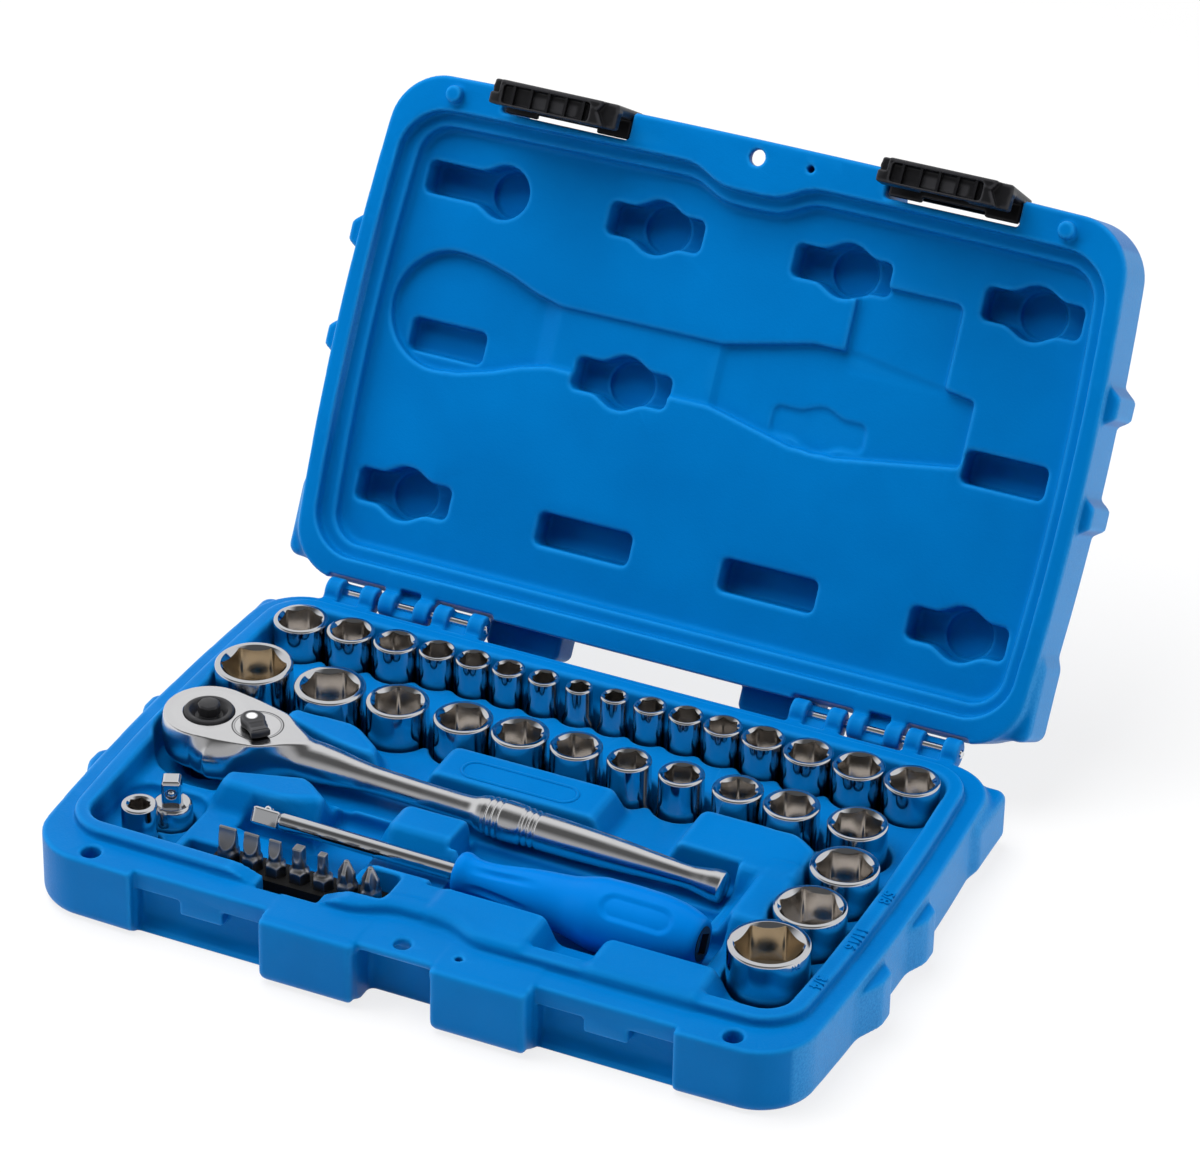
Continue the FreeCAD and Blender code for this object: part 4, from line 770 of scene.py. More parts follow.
# %% Raised parts of the tray
PLATEAU_TOP = RIM + 3.5
BLOCK_SLOPE, LIP_SLOPE = 0.5, 0.16
FAR_RIGHT, NEAR_RIGHT = (0.61, -0.79), (0.42, 0.91)
BLOCKS = [
    (-88.0, -53.5, 77.0, 91.0, BLOCK_TOP, {FAR_RIGHT: (-64.3, 78.1)}), (-31.0, 26.0, 74.0, 96.0, BLOCK_TOP, {}),
    (56.0, 97.0, 71.8, 96.0, BLOCK_TOP, {FAR_RIGHT: (87.9, 71.6)}), (86.0, 97.0, 88.0, 121.0, BLOCK_TOP, {}),
    (-89.2, -53.3, 111.5, 125.2, BLOCK_TOP, {FAR_RIGHT: (-65.7, 111.8), NEAR_RIGHT: (-64.2, 124.4)}),
    (-30.0, -2.5, 111.0, 123.5, BLOCK_TOP, {}), (-26.0, 4.0, 143.8, 167.0, PLATEAU_TOP, {}),
    (1.5, 36.0, 146.5, 167.0, BLOCK_TOP, {}), (58.0, 94.0, 149.0, 168.0, BLOCK_TOP, {}),
]


def block_plan(left, right, rear, front, bevels):
    """The top of a block from above. A bevel cuts off a corner, square to a direction and through a point."""
    whole = panel(left, right, rear, front, 2.5)

    def distance(x, f):
        plan = whole(x, f)
        for (across, ahead), (x0, f0) in bevels.items():
            plan = round_max(plan, across * (x - x0) + ahead * (f - f0), 2.0)
        return plan
    return distance


def add_tray(base):
    """The lip, the floor sunk inside it and the blocks that stand on the floor."""
    lip = lip_plan(0)
    base.join(upright(lip, RIM - 4, RIM + LIP_HIGH, 1.3), 0.7)
    inset = LIP_BAND + LIP_SLOPE * (RIM + LIP_HIGH - TRAY_FLOOR)
    base.carve(upright(lambda x, f: lip(x, f) + inset, TRAY_FLOOR, RIM + 30, 2.5, -LIP_SLOPE), 1.4)
    low = TRAY_FLOOR - 1.0
    for left, right, rear, front, high, bevels in BLOCKS:
        plan = block_plan(left, right, rear, front, bevels)
        spread = BLOCK_SLOPE * (high - low)

        def foot(x, f):
            return round_max(plan(x, f), lip(x, f) + LIP_LAND, 2.0) - spread
        block = upright(foot, low, high, 1.8, BLOCK_SLOPE)
        base.join(block, 1.8, (left - 14, right + 14, rear - 14, front + 14))


# %% [markdown]
# The front of the base has two blocks with a finger recess between them, and a stepped recess for each latch: a
# narrow band that the latch hooks under, and a deeper place below it that runs out towards the bottom.

# %% Front of the base
BLOCK_INNER, BLOCK_REACH, BLOCK_FOOT = 13.0, FRONT + 5.2, 4.5
FINGER_BACK, FINGER_WALL = FRONT - 7.5, 2.6
BAND_FACE, BAND_HIGH, BAND_DEEP, BAND_ROOM = FRONT - 2.0, 7.0, 5.0, 18.0
TAB_HALF, TAB_DROP = 7.5, 5.0


def shape_front(base):
    for side in (1, -1):
        edges = sorted((side * BLOCK_INNER, side * (LATCH_X - LATCH_HALF)))
        plan = panel(*edges, LIP_FRONT, BLOCK_REACH, 2.0)

        def block(x, f, z):
            return round_max(round_max(plan(x, f), z - RIM, 1.5), -z, BLOCK_FOOT)
        base.join(block, 0.8, (edges[0] - 6, edges[1] + 6, 160, 190))
        middle = side * LATCH_X
        over = (middle - 30, middle + 30, 160, 190)
        slot = panel(middle - LATCH_HALF, middle + LATCH_HALF, BAND_FACE, BEYOND, 0.8)
        base.carve(upright(slot, -5, RIM + 5, 0.3), 0.8, over)

        def under_band(x, f, z):
            out = np.clip((RIM - BAND_ROOM - z) / (RIM - BAND_ROOM), 0, 1)
            wall = BAND_FACE - BAND_DEEP * (1 - out ** 2) - f
            room = np.maximum(np.abs(x - middle) - LATCH_HALF + 0.6, z - RIM + BAND_HIGH)
            tab = np.maximum(np.abs(x - middle) - TAB_HALF, RIM - BAND_HIGH - TAB_DROP - z)
            return round_max(round_max(wall, room, 0.6), -tab, 0.6)
        base.carve(under_band, 0.7, over)
    recess = upright(panel(-BLOCK_INNER, BLOCK_INNER, FINGER_BACK, BEYOND, 2.0), -5, RIM - FINGER_WALL, 2.0)
    base.carve(recess, 1.0, (-20, 20, 160, 190))


# %% Build the base
CASE_STEP = 0.8
MOST_TRIANGLES = 190000


def build_base():
    base = Moulding((-140, HINGE_Y - 185, 0), (140, HINGE_Y + 7, RIM + 5), CASE_STEP, HINGE_Y)
    plan = case_plan(BASE_BACK)
    base.join(lambda x, f, z: round_max(round_max(plan(x, f), z - RIM, 1.0), -z, 4.0), 0.01)
    add_ribs(base, RIB_MARGIN, RIM - RIB_MARGIN, BASE_FLARES)
    add_feet(base, 1.0, RIM - FOOT_DROP)
    shape_front(base)
    add_tray(base)
    carve_rows(base)
    carve_tools(base)
    clear_hinge(base)
    add_knuckles(base, (-1, 1), (RIM - KNUCKLE_RADIUS, RIM), WINDOW_FACES)
    for side in (1, -1):
        drill(base, side * BOSS_X, BOSS_F, BOSS_HOLE, RIM - 6, RIM + 9)
    drill(base, 0, HOLE_FRONT, HOLE_RADIUS, -5, RIM + 9)
    drill(base, VENT_X, HOLE_FRONT, VENT_RADIUS, RIM - 6, RIM + 9, 0.3)
    return moulded_piece("case_base_moulding", base, MOST_TRIANGLES)


base_piece = build_base()

# %% [markdown]
# ## The lid
# The lid is drawn shut, on the base, and then swung open about the hinge. Its inside steps down twice, first to
# clear the lip and then to a flat panel. Shallow recesses clear the ratchet and the spinner, and small pits tie the
# double wall together.

# %% Inside of the lid
PANEL_DEEP = 10.8
PIT_DEEP, PIT_HALF, PIT_BULGE, PIT_ROUND, ROUND_DEEP = 11.5, 5.6, 9.2, 8.0, 2.0
PITS = [
    (-118.9, -83.9, 37.0, -100.9), (-50.9, -16.4, 37.0, None), (16.6, 51.1, 37.0, None), (84.1, 118.6, 37.0, 102.6),
    (-113.9, -85.9, 91.0, None), (-50.9, -15.9, 91.0, -32.9), (90.1, 119.1, 91.0, None),
    (-118.9, -93.0, 144.5, -89.9), (-50.9, -16.4, 144.5, -32.9), (16.6, 51.1, 144.5, 35.6),
    (84.1, 118.6, 144.5, 102.1),
]
FAINT, FAINT_ROUND, FAINT_DEEP = panel(21.0, 54.0, 86.5, 96.0, 2.5), disc(38.0, 91.0, 7.6), 4.4
RECESS_F, RECESS_START, RECESS_END = 101.0, -100.8, 89.0
RECESS_X = (-101.0, -92.0, -80.0, -70.0, -60.0, -1.0, 30.0, 46.0, 89.0)
RECESS_HALF = (20.4, 19.6, 16.4, 12.6, 10.2, 10.4, 17.4, 17.6, 11.0)
RECESS_DEEP = ((-67.0, 4.4), (-60.0, 2.0), (-2.0, 2.0), (1.0, 3.4))
SPINNER_RECESS, SPINNER_RECESS_DEEP = panel(41.5, 78.0, 112.0, 142.0, 3.0), 3.0


def ratchet_recess(x, f, z):
    """A teardrop over the ratchet's head and a channel over its handle, with steps in its depth."""
    wide = np.interp(x, RECESS_X, RECESS_HALF)
    body = round_max((np.abs(f - RECESS_F) - wide) * 0.95, np.maximum(RECESS_START - x, x - RECESS_END), 1.5)
    plan = np.minimum(np.hypot(x - RECESS_START, f - RECESS_F) - RECESS_HALF[0], body)
    deep = np.interp(x, *zip(*RECESS_DEEP))
    return round_max(plan, z - RIM - PANEL_DEEP - deep, 1.2)


def spinner_recess(x, f, z):
    return round_max(SPINNER_RECESS(x, f), z - RIM - PANEL_DEEP - SPINNER_RECESS_DEEP, 1.2)


def bulged(flat, ball):
    """The plan of a pit with a round place in it."""
    return lambda x, f: round_min(flat(x, f), ball(x, f), 2.5)


def carve_pits(lid):
    top = RIM + PANEL_DEEP + PIT_DEEP
    for left, right, back, bulge in PITS:
        over = (left - 12, right + 16, back - 18, back + 18)
        pit = panel(left, right, back - PIT_HALF, back + PIT_HALF, 2.5)
        if bulge is None:
            lid.carve(upright(pit, RIM, top, 1.5), 1.2, over)
            continue
        lid.carve(upright(bulged(pit, disc(bulge, back, PIT_BULGE)), RIM, top, 1.5), 1.2, over)
        lid.carve(upright(disc(bulge, back, PIT_ROUND), RIM, top + ROUND_DEEP, 1.0), 0.6, over)
    faint = upright(bulged(FAINT, FAINT_ROUND), RIM, RIM + PANEL_DEEP + FAINT_DEEP, 1.0)
    lid.carve(faint, 1.0, (12, 64, 76, 108))


# %% Build the lid
LATCH_ROOM_BACK, LID_WEB, HOLE_ROOM_BACK = FRONT - 7.8, 4.0, FRONT - 9.0
RABBET_DEEP, PANEL_INSET = 5.3, 4.0
swing_open = (Matrix.Translation((0, HINGE_Y, RIM)) @ Matrix.Rotation(math.radians(-OPEN_ANGLE), 4, "X")
              @ Matrix.Translation((0, -HINGE_Y, -RIM)))


def build_lid():
    top = RIM + LID_DEEP
    lid = Moulding((-140, HINGE_Y - 182, RIM - 5), (140, HINGE_Y + 7, top), CASE_STEP, HINGE_Y)
    plan = case_plan(LID_BACK)
    lid.join(lambda x, f, z: round_max(round_max(plan(x, f), RIM - z, 1.0), z - top, 4.0), 0.01)
    add_ribs(lid, RIM + RIB_MARGIN, top - RIB_MARGIN, LID_FLARES)
    add_feet(lid, RIM + FOOT_DROP, top - 1.0)
    lid.carve(upright(lip_plan(LIP_PLAY), RIM - 9, RIM + RABBET_DEEP, 1.0), 0.9)
    lid.carve(upright(lip_plan(-PANEL_INSET), RIM - 9, RIM + PANEL_DEEP, 2.5), 1.3)
    lid.carve(ratchet_recess, 1.2, (-132, 100, 70, 130))
    lid.carve(spinner_recess, 1.2, (40, 90, 104, 150))
    carve_pits(lid)
    for side in (1, -1):
        middle = side * LATCH_X
        room = panel(middle - LATCH_HALF, middle + LATCH_HALF, LATCH_ROOM_BACK, BEYOND, 0.8)
        lid.carve(upright(room, RIM - 9, top + 9, 1.0), 0.8, (middle - 30, middle + 30, 160, 185))
        boss = upright(disc(side * BOSS_X, BOSS_F, BOSS_RADIUS), RIM - 4.0, RIM + 2, 0.8)
        lid.join(boss, 0.5, (side * BOSS_X - 8, side * BOSS_X + 8, 160, 182))
    behind_hole = panel(-BLOCK_INNER, BLOCK_INNER, HOLE_ROOM_BACK, BEYOND, 2.0)
    lid.carve(upright(behind_hole, RIM + LID_WEB, top + 9, 2.0), 1.0, (-20, 20, 160, 190))
    clear_hinge(lid)
    add_knuckles(lid, (0,), (RIM, RIM + KNUCKLE_RADIUS), swung_shut(*WINDOW_FACES))
    drill(lid, 0, HOLE_FRONT, HOLE_RADIUS, RIM - 9, top + 9)
    drill(lid, VENT_X, HOLE_FRONT, VENT_RADIUS, RIM - 9, RIM + 9, 0.3)
    return moulded_piece("case_lid_moulding", lid, MOST_TRIANGLES, swing_open)


lid_piece = build_lid()

# %% Dress the case
fit(base_piece, "base", case_blue, "case_blue", "case_base")
fit(lid_piece, "lid", case_blue, "case_blue", "case_lid")


# %% [markdown]
# ## Latches
# Each latch is one black moulding: an outer plate, a barrel on its pin, a shelf that fills the lid's recess and a
# hooked end with a ribbed hollow for the finger. The body is carved from distances like the case. The ribs are the
# part that repeats, so Geometry Nodes set them out in a line: with another count they share the hollow again.

# %% Body of a latch
LATCH_WIDE, LATCH_PIVOT_F, LATCH_PIVOT_HIGH, LATCH_BARREL = 45.4, FRONT - 2.8, 11.0, 3.2
LATCH_INNER, LATCH_OUTER, LATCH_END, HOOK_REAR, HOOK_TOP = FRONT - 1.3, FRONT + 2.3, 15.0, FRONT - 6.3, 8.0
LATCH_EAR, LATCH_LUG, LATCH_WALL = 4.4, 9.2, 1.5
LATCH_STEP, WINDOW_DEEP, NOTCH_END, NOTCH_HALF = 0.4, 2.1, 12.4, 8.3
LEG_LOW, LEG_HIGH, LEG_GAP_HALF, LEG_GAP = 2.0, 4.2, 11.0, 1.9
LUG_LONG, LUG_TAPER, LUG_DEEP, EAR_DEEP = 6.5, 0.6, 2.6, 2.2


def block(left, right, rear, front, low, high, r):
    """A box with rounded edges, with heights measured from the rim."""
    return upright(panel(left, right, rear, front, r), RIM + low, RIM + high, r)


def build_latch(name, middle, placement):
    left, right = middle - LATCH_WIDE / 2, middle + LATCH_WIDE / 2
    low = (left - 1, HINGE_Y - LATCH_OUTER - 1, RIM - LATCH_END - 1)
    high = (right + 1, HINGE_Y - LATCH_ROOM_BACK, RIM + LATCH_PIVOT_HIGH + LATCH_BARREL + 1)
    latch = Moulding(low, high, LATCH_STEP, HINGE_Y)
    latch.join(block(left, right, LATCH_INNER, LATCH_OUTER, -LATCH_END, LATCH_PIVOT_HIGH + 1.2, 0.9), 0.01)

    def barrel(x, f, z):
        tube = np.hypot(f - LATCH_PIVOT_F, z - RIM - LATCH_PIVOT_HIGH) - LATCH_BARREL
        return round_max(tube, np.abs(x - middle) - LATCH_WIDE / 2, 0.6)
    latch.join(barrel, 0.8)
    latch.join(block(left, right, HOOK_REAR, LATCH_INNER + 1.5, -LATCH_END, -HOOK_TOP, 0.8), 0.8)
    latch.join(block(left, right, LATCH_ROOM_BACK + 0.1, LATCH_INNER + 1.5, LEG_LOW, LEG_HIGH, 0.5), 0.6)
    notch = (middle - NOTCH_HALF, middle + NOTCH_HALF, HOOK_REAR - 3, LATCH_INNER)
    latch.carve(block(*notch, -NOTCH_END, -HOOK_TOP + 3, 0.5), 0.5)
    gap = (middle - LEG_GAP_HALF, middle + LEG_GAP_HALF, LATCH_ROOM_BACK - 3, LATCH_ROOM_BACK + LEG_GAP)
    latch.carve(block(*gap, 0, 8, 0.6), 0.5)
    hollow = block(left + LATCH_EAR, right - LATCH_LUG, HOOK_REAR + 0.7, LATCH_OUTER - LATCH_WALL,
                   -LATCH_END - 4, -LATCH_END + WINDOW_DEEP, 1.2)
    latch.carve(hollow, 0.5)
    ear = (left - 4, left + LATCH_EAR - 1.4, LATCH_INNER - 1.0, LATCH_OUTER + 4)
    latch.carve(block(*ear, -LATCH_END - 4, -LATCH_END + EAR_DEEP, 0.6), 0.6)

    def lug(x, f, z):
        slant = right - LUG_LONG - x + LUG_TAPER * np.abs(f - LATCH_INNER)
        return round_max(slant, z - RIM + LATCH_END - LUG_DEEP, 0.8)
    latch.carve(lug, 1.0)
    return moulded_piece(name, latch, LATCH_TRIANGLES, placement)


# %% Ribs of a latch
def make_rib_tree():
    tree = bpy.data.node_groups.new("latch ribs", "GeometryNodeTree")
    ends = tree.interface
    ends.new_socket("Geometry", in_out="OUTPUT", socket_type="NodeSocketGeometry")
    for label, kind in (("Count", "NodeSocketInt"), ("First", "NodeSocketVector"), ("Step", "NodeSocketVector"),
                        ("Rib", "NodeSocketVector"), ("Finish", "NodeSocketMaterial")):
        ends.new_socket(label, in_out="INPUT", socket_type=kind)
    given = tree.nodes.new("NodeGroupInput").outputs
    line = put(tree, "GeometryNodeMeshLine", None, Count=given["Count"], Offset=given["Step"])
    tree.links.new(given["First"], line.inputs["Start Location"])
    rib = put(tree, "GeometryNodeMeshCube", None, Size=given["Rib"])
    row = put(tree, "GeometryNodeInstanceOnPoints", None, Points=line.outputs[0], Instance=rib.outputs["Mesh"])
    solid = put(tree, "GeometryNodeRealizeInstances", None, Geometry=row.outputs[0])
    dressed = put(tree, "GeometryNodeSetMaterial", None, Geometry=solid.outputs[0], Material=given["Finish"])
    tree.links.new(dressed.outputs[0], tree.nodes.new("NodeGroupOutput").inputs[0])
    return tree


def grow(name, tree, values):
    """A piece made by a node tree, as a plain mesh. Inputs are set by the identifiers of their sockets."""
    piece = add_mesh(name, [], [])
    maker = piece.modifiers.new("maker", "NODES")
    maker.node_group = tree
    for item in tree.interface.items_tree:
        if item.in_out == "INPUT":
            maker[item.identifier] = values[item.name]
    return settle(piece)


RIB_TREE = make_rib_tree()
RIB_COUNT, RIB_THICK, RIB_LEAD, RIB_HIGH = 5, 0.9, 0.6, 1.8


def latch_ribs(name, middle, placement):
    start = middle - LATCH_WIDE / 2 + LATCH_EAR
    step = (LATCH_WIDE - LATCH_EAR - LATCH_LUG) / RIB_COUNT
    rear, front = HOOK_REAR + 0.4, LATCH_OUTER - LATCH_WALL + 0.3
    first = (start + RIB_LEAD * step, HINGE_Y - (rear + front) / 2, RIM - LATCH_END + RIB_HIGH / 2 + 0.4)
    ribs = grow(name, RIB_TREE, {"Count": RIB_COUNT, "First": first, "Step": (step, 0.0, 0.0),
                                 "Rib": (RIB_THICK, front - rear, RIB_HIGH), "Finish": latch_black})
    ribs.data.transform(Matrix.Scale(MM, 4) @ placement)
    return ribs


# %% Both latches
for hand, side in (("left", -1), ("right", 1)):
    rest = joints[f"{hand}_latch_pivot"]["range_deg"][0]
    pivot = Matrix.Translation((0, HINGE_Y - LATCH_PIVOT_F, RIM + LATCH_PIVOT_HIGH))
    placement = swing_open @ pivot @ Matrix.Rotation(math.radians(rest), 4, "X") @ pivot.inverted()
    body = build_latch(f"{hand}_latch_moulding", side * LATCH_X, placement)
    fit(body, f"{hand}_latch", latch_black, "latch_black", f"{hand}_latch")
    fit(latch_ribs(f"{hand}_latch_ribs", side * LATCH_X, placement), f"{hand}_latch", latch_black, "latch_black")


# %% [markdown]
# ## Sockets
# All thirty sockets follow one rule: a turned barrel, sometimes with a wider foot, a bevelled rim, a countersunk
# mouth and a broached hexagon. One Geometry Nodes tree holds that rule. It starts from a circle and pulls ring after
# ring out of it, up the outside, over the rim and down the bore. Where the cone of the mouth meets the hexagon the
# edge rises and falls, which gives the bright scallops that a real socket shows. The main sizes are inputs.

# %% Numbers inside a node tree
class Number:
    """A value in a node tree that takes part in sums as a plain number does."""

    def __init__(self, tree, socket):
        self.tree, self.socket = tree, socket

    def sum(self, operation, first, second=0.0):
        plain = [value.socket if isinstance(value, Number) else float(value) for value in (first, second)]
        return Number(self.tree, maths(self.tree, operation, *plain))

    def __add__(self, other):
        return self.sum("ADD", self, other)

    def __sub__(self, other):
        return self.sum("SUBTRACT", self, other)

    def __mul__(self, other):
        return self.sum("MULTIPLY", self, other)

    def __truediv__(self, other):
        return self.sum("DIVIDE", self, other)


# %% The socket tree
class Turning:
    """A body of revolution under way in a node tree, built ring by ring."""

    def __init__(self, tree, points, radius, height):
        self.tree = tree
        place = put(tree, "GeometryNodeInputPosition").outputs[0]
        flat = put(tree, "ShaderNodeVectorMath", {"operation": "MULTIPLY"}, i0=place, i1=(1.0, 1.0, 0.0))
        self.outward = put(tree, "ShaderNodeVectorMath", {"operation": "NORMALIZE"}, i0=flat.outputs[0]).outputs[0]
        apart = put(tree, "ShaderNodeSeparateXYZ", None, i0=self.outward).outputs
        self.angle = Number(tree, maths(tree, "ARCTAN2", apart["Y"], apart["X"]))
        self.shape = put(tree, "GeometryNodeMeshCircle", None, Vertices=points, Radius=1.0).outputs[0]
        self.last = None
        self.move(radius, height)

    def move(self, radius, height):
        reach, rise = (n.socket if isinstance(n, Number) else n for n in (radius, height))
        out = put(self.tree, "ShaderNodeVectorMath", {"operation": "SCALE"}, i0=self.outward, Scale=reach).outputs[0]
        up = put(self.tree, "ShaderNodeCombineXYZ", None, Z=rise).outputs[0]
        spot = put(self.tree, "ShaderNodeVectorMath", {"operation": "ADD"}, i0=out, i1=up).outputs[0]
        node = put(self.tree, "GeometryNodeSetPosition", None, Geometry=self.shape, Position=spot)
        if self.last:
            self.tree.links.new(self.last, node.inputs["Selection"])
        self.shape = node.outputs[0]

    def ring(self, radius, height, mark=0.0):
        """Pull the next ring out of the last one, and mark it if it lies in the bore."""
        pull = put(self.tree, "GeometryNodeExtrudeMesh", {"mode": "EDGES"}, Mesh=self.shape)
        pull.inputs["Offset Scale"].default_value = 0.0
        if self.last:
            self.tree.links.new(self.last, pull.inputs["Selection"])
        self.shape, self.last = pull.outputs["Mesh"], pull.outputs["Top"]
        self.move(radius, height)
        node = put(self.tree, "GeometryNodeStoreNamedAttribute", {"data_type": "FLOAT", "domain": "POINT"},
                   Geometry=self.shape, Selection=self.last, Name="bore",
                   Value=mark.socket if isinstance(mark, Number) else mark)
        self.shape = node.outputs[0]

    def broached(self, sides, flats, turn, cap):
        """Radius of a hole with flat sides, its corners cut off by a round one."""
        step = 2 * math.pi / sides
        facing = Number(self.tree, maths(self.tree, "FLOORED_MODULO", (self.angle + turn).socket, step)) - step / 2
        reach = flats * 0.5 / facing.sum("COSINE", facing)
        return reach.sum("MINIMUM", reach, cap)


SOCKET_SIZES = ("Radius", "End radius", "Length", "End", "Shoulder", "Flats", "Deep", "Drive", "Drive deep", "Bevel",
                "Turn", "Dull")
ROUND_STEPS = (0.0, 0.3, 0.65, 1.0)
BORE_SHARE, SQUARE_CORNER, HEX_CORNER, CONE_SHARE = 0.4, 0.66, 0.565, 0.8
SLOPE, MOUTH_WIDER, MOUTH_EDGE, MOUTH_DROP = 0.85, 0.25, 0.12, 0.08
RING_POINTS = 96


def make_socket_tree():
    tree = bpy.data.node_groups.new("socket", "GeometryNodeTree")
    tree.interface.new_socket("Geometry", in_out="OUTPUT", socket_type="NodeSocketGeometry")
    for label in SOCKET_SIZES:
        tree.interface.new_socket(label, in_out="INPUT", socket_type="NodeSocketFloat")
    tree.interface.new_socket("Finish", in_out="INPUT", socket_type="NodeSocketMaterial")
    given = tree.nodes.new("NodeGroupInput").outputs
    (radius, foot, length, end, shoulder, flats, deep, drive, drive_deep, bevel, turn,
     dull) = (Number(tree, given[label]) for label in SOCKET_SIZES)
    bore = drive.sum("MINIMUM", drive, flats) * BORE_SHARE
    turning = Turning(tree, RING_POINTS, bore, drive_deep)
    square = turning.broached(4, drive, turn, drive * SQUARE_CORNER)
    corner = flats * HEX_CORNER
    hexagon = turning.broached(6, flats, turn, corner)
    turning.ring(square, drive_deep, dull)
    turning.ring(square, bevel, dull)
    turning.ring(square + bevel * 0.6, 0.0)
    turning.ring(foot - bevel, 0.0)
    turning.ring(foot, bevel)
    turning.ring(foot, end)
    turning.ring(radius, end + shoulder)
    for share in ROUND_STEPS:
        turning.ring(radius - bevel * (1 - math.cos(share * math.pi / 2)),
                     length - bevel * (1 - math.sin(share * math.pi / 2)))
    mouth = corner + MOUTH_WIDER
    countersunk = length - (mouth - hexagon) * SLOPE
    turning.ring(mouth + MOUTH_EDGE, length)
    turning.ring(mouth, length - MOUTH_DROP)
    turning.ring(hexagon, countersunk - MOUTH_DROP)
    turning.ring(hexagon, countersunk - 0.5, dull)
    turning.ring(hexagon, length - deep, dull)
    turning.ring(hexagon * CONE_SHARE, length - deep - 0.5, dull)
    turning.ring(bore, length - deep - 1.0, dull)
    turning.ring(bore, drive_deep, dull)
    whole = put(tree, "GeometryNodeMergeByDistance", None, Geometry=turning.shape, Distance=0.002).outputs[0]
    solid = put(tree, "GeometryNodeRealizeInstances", None, Geometry=whole).outputs[0]
    dressed = put(tree, "GeometryNodeSetMaterial", None, Geometry=solid, Material=given["Finish"])
    tree.links.new(dressed.outputs[0], tree.nodes.new("NodeGroupOutput").inputs[0])
    return tree


SOCKET_TREE = make_socket_tree()
print("socket tree", len(SOCKET_TREE.nodes), "nodes")


# %% [markdown]
# Each socket takes its outside, length and place from its own solid, and its hexagon from the opening that the frame
# keeps clear in it. Sockets are dropped back any way round, so each hexagon is turned differently. The small ones
# are drawn a little larger than their solids, as they look in their row, and the bores of the largest are bronzed.

# %% All the sockets
def close_up(mesh, sharp):
    """Point all faces outwards and keep the edges that are sharper than an angle in degrees."""
    shape = bmesh.new()
    shape.from_mesh(mesh)
    bmesh.ops.remove_doubles(shape, verts=shape.verts, dist=1e-7)
    bmesh.ops.recalc_face_normals(shape, faces=shape.faces)
    shape.to_mesh(mesh)
    shape.free()
    mesh.shade_smooth()
    mesh.set_sharp_from_angle(angle=math.radians(sharp))


MOUTH_SHARE = 0.72
SOCKET_END, SOCKET_SHOULDER, HEX_DEEP, DRIVE_DEEP, SOCKET_BEVEL = 9.0, 2.5, 13.5, 8.5, 0.7
QUARTER_FOOT, QUARTER_GROWN, BRONZED_FROM = 13.0, 0.4, 12.6
DRIVES = {"quarter": (6.35, 11.2), "three": (9.525, 17.0)}


def mouth_of(name):
    low, high = openings[name + "_mouth"]
    return (high[0] - low[0]) / MM / MOUTH_SHARE


def outside_of(name):
    """Radius of a barrel at its rim, from the highest points of its solid."""
    mesh = frame["nodes"][name].data
    top = max(point.co.z for point in mesh.vertices)
    middle = (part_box(name)[0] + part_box(name)[1]) / 2
    reach = [math.hypot(p.co.x - middle.x, p.co.y - middle.y) for p in mesh.vertices if p.co.z > top - 1e-5]
    return max(reach) / MM + SOCKET_BEVEL


def stand(name, body, radius, foot, flats, drive, turn, end=SOCKET_END):
    low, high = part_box(name)
    values = (radius, foot, (high.z - low.z) / MM, end, SOCKET_SHOULDER, flats, HEX_DEEP, drive, DRIVE_DEEP,
              SOCKET_BEVEL, math.radians(turn), 1.0 if radius > BRONZED_FROM else 0.5)
    piece = grow(name + "_turned", SOCKET_TREE, {**dict(zip(SOCKET_SIZES, values)), "Finish": socket_chrome})
    middle = (low + high) / 2
    piece.data.transform(Matrix.Translation((middle.x, middle.y, low.z)) @ Matrix.Scale(MM, 4))
    close_up(piece.data, 32)
    return fit(piece, body, socket_chrome, "socket_chrome", name)


TURNS = (24, 41, 54, 36, 33, 5, 47, 19, 57, 28, 39, 9, 50)
for number, name in enumerate(sockets):
    drive, foot = DRIVES[name.split("_")[0]]
    flats, radius, end = mouth_of(name), outside_of(name), SOCKET_END
    if name.startswith("quarter"):
        end, radius, flats = QUARTER_FOOT, radius + QUARTER_GROWN, flats + QUARTER_GROWN
    stand(name, name, radius, max(radius, foot / 2), flats, drive, TURNS[number % len(TURNS)], end)
HOLDER_FLATS, HOLDER_TURN = 6.6, 15
holder_radius = standing("bit_holder")[2]
stand("bit_holder", "bit_holder", holder_radius, holder_radius, HOLDER_FLATS, DRIVES["quarter"][0], HOLDER_TURN)


# %% [markdown]
# ## Turned pieces
# Handles, pins and the adapter are turned on a lathe. A list of stations along the axis, each with its radius, is
# all a lathe needs. A station may also have a radius for each direction, which gives squares, flutes and flats.

# %% Lathe
def lathe(name, rows, placement, count=48, sharp=40):
    """A closed turned piece from rows of (distance along the axis, radius or radii)."""
    angle = np.arange(count) * 2 * math.pi / count
    points, faces = [], []
    for along_axis, radius in rows:
        radii = np.broadcast_to(radius, count)
        points += zip(np.full(count, along_axis), radii * np.cos(angle), radii * np.sin(angle))
    for row in range(len(rows) - 1):
        for i in range(count):
            j = (i + 1) % count
            faces.append((row * count + i, row * count + j, (row + 1) * count + j, (row + 1) * count + i))
    faces += [tuple(range(count)), tuple((len(rows) - 1) * count + i for i in reversed(range(count)))]
    piece = add_mesh(name, points, faces)
    piece.data.transform(Matrix.Scale(MM, 4) @ placement)
    close_up(piece.data, sharp)
    return piece


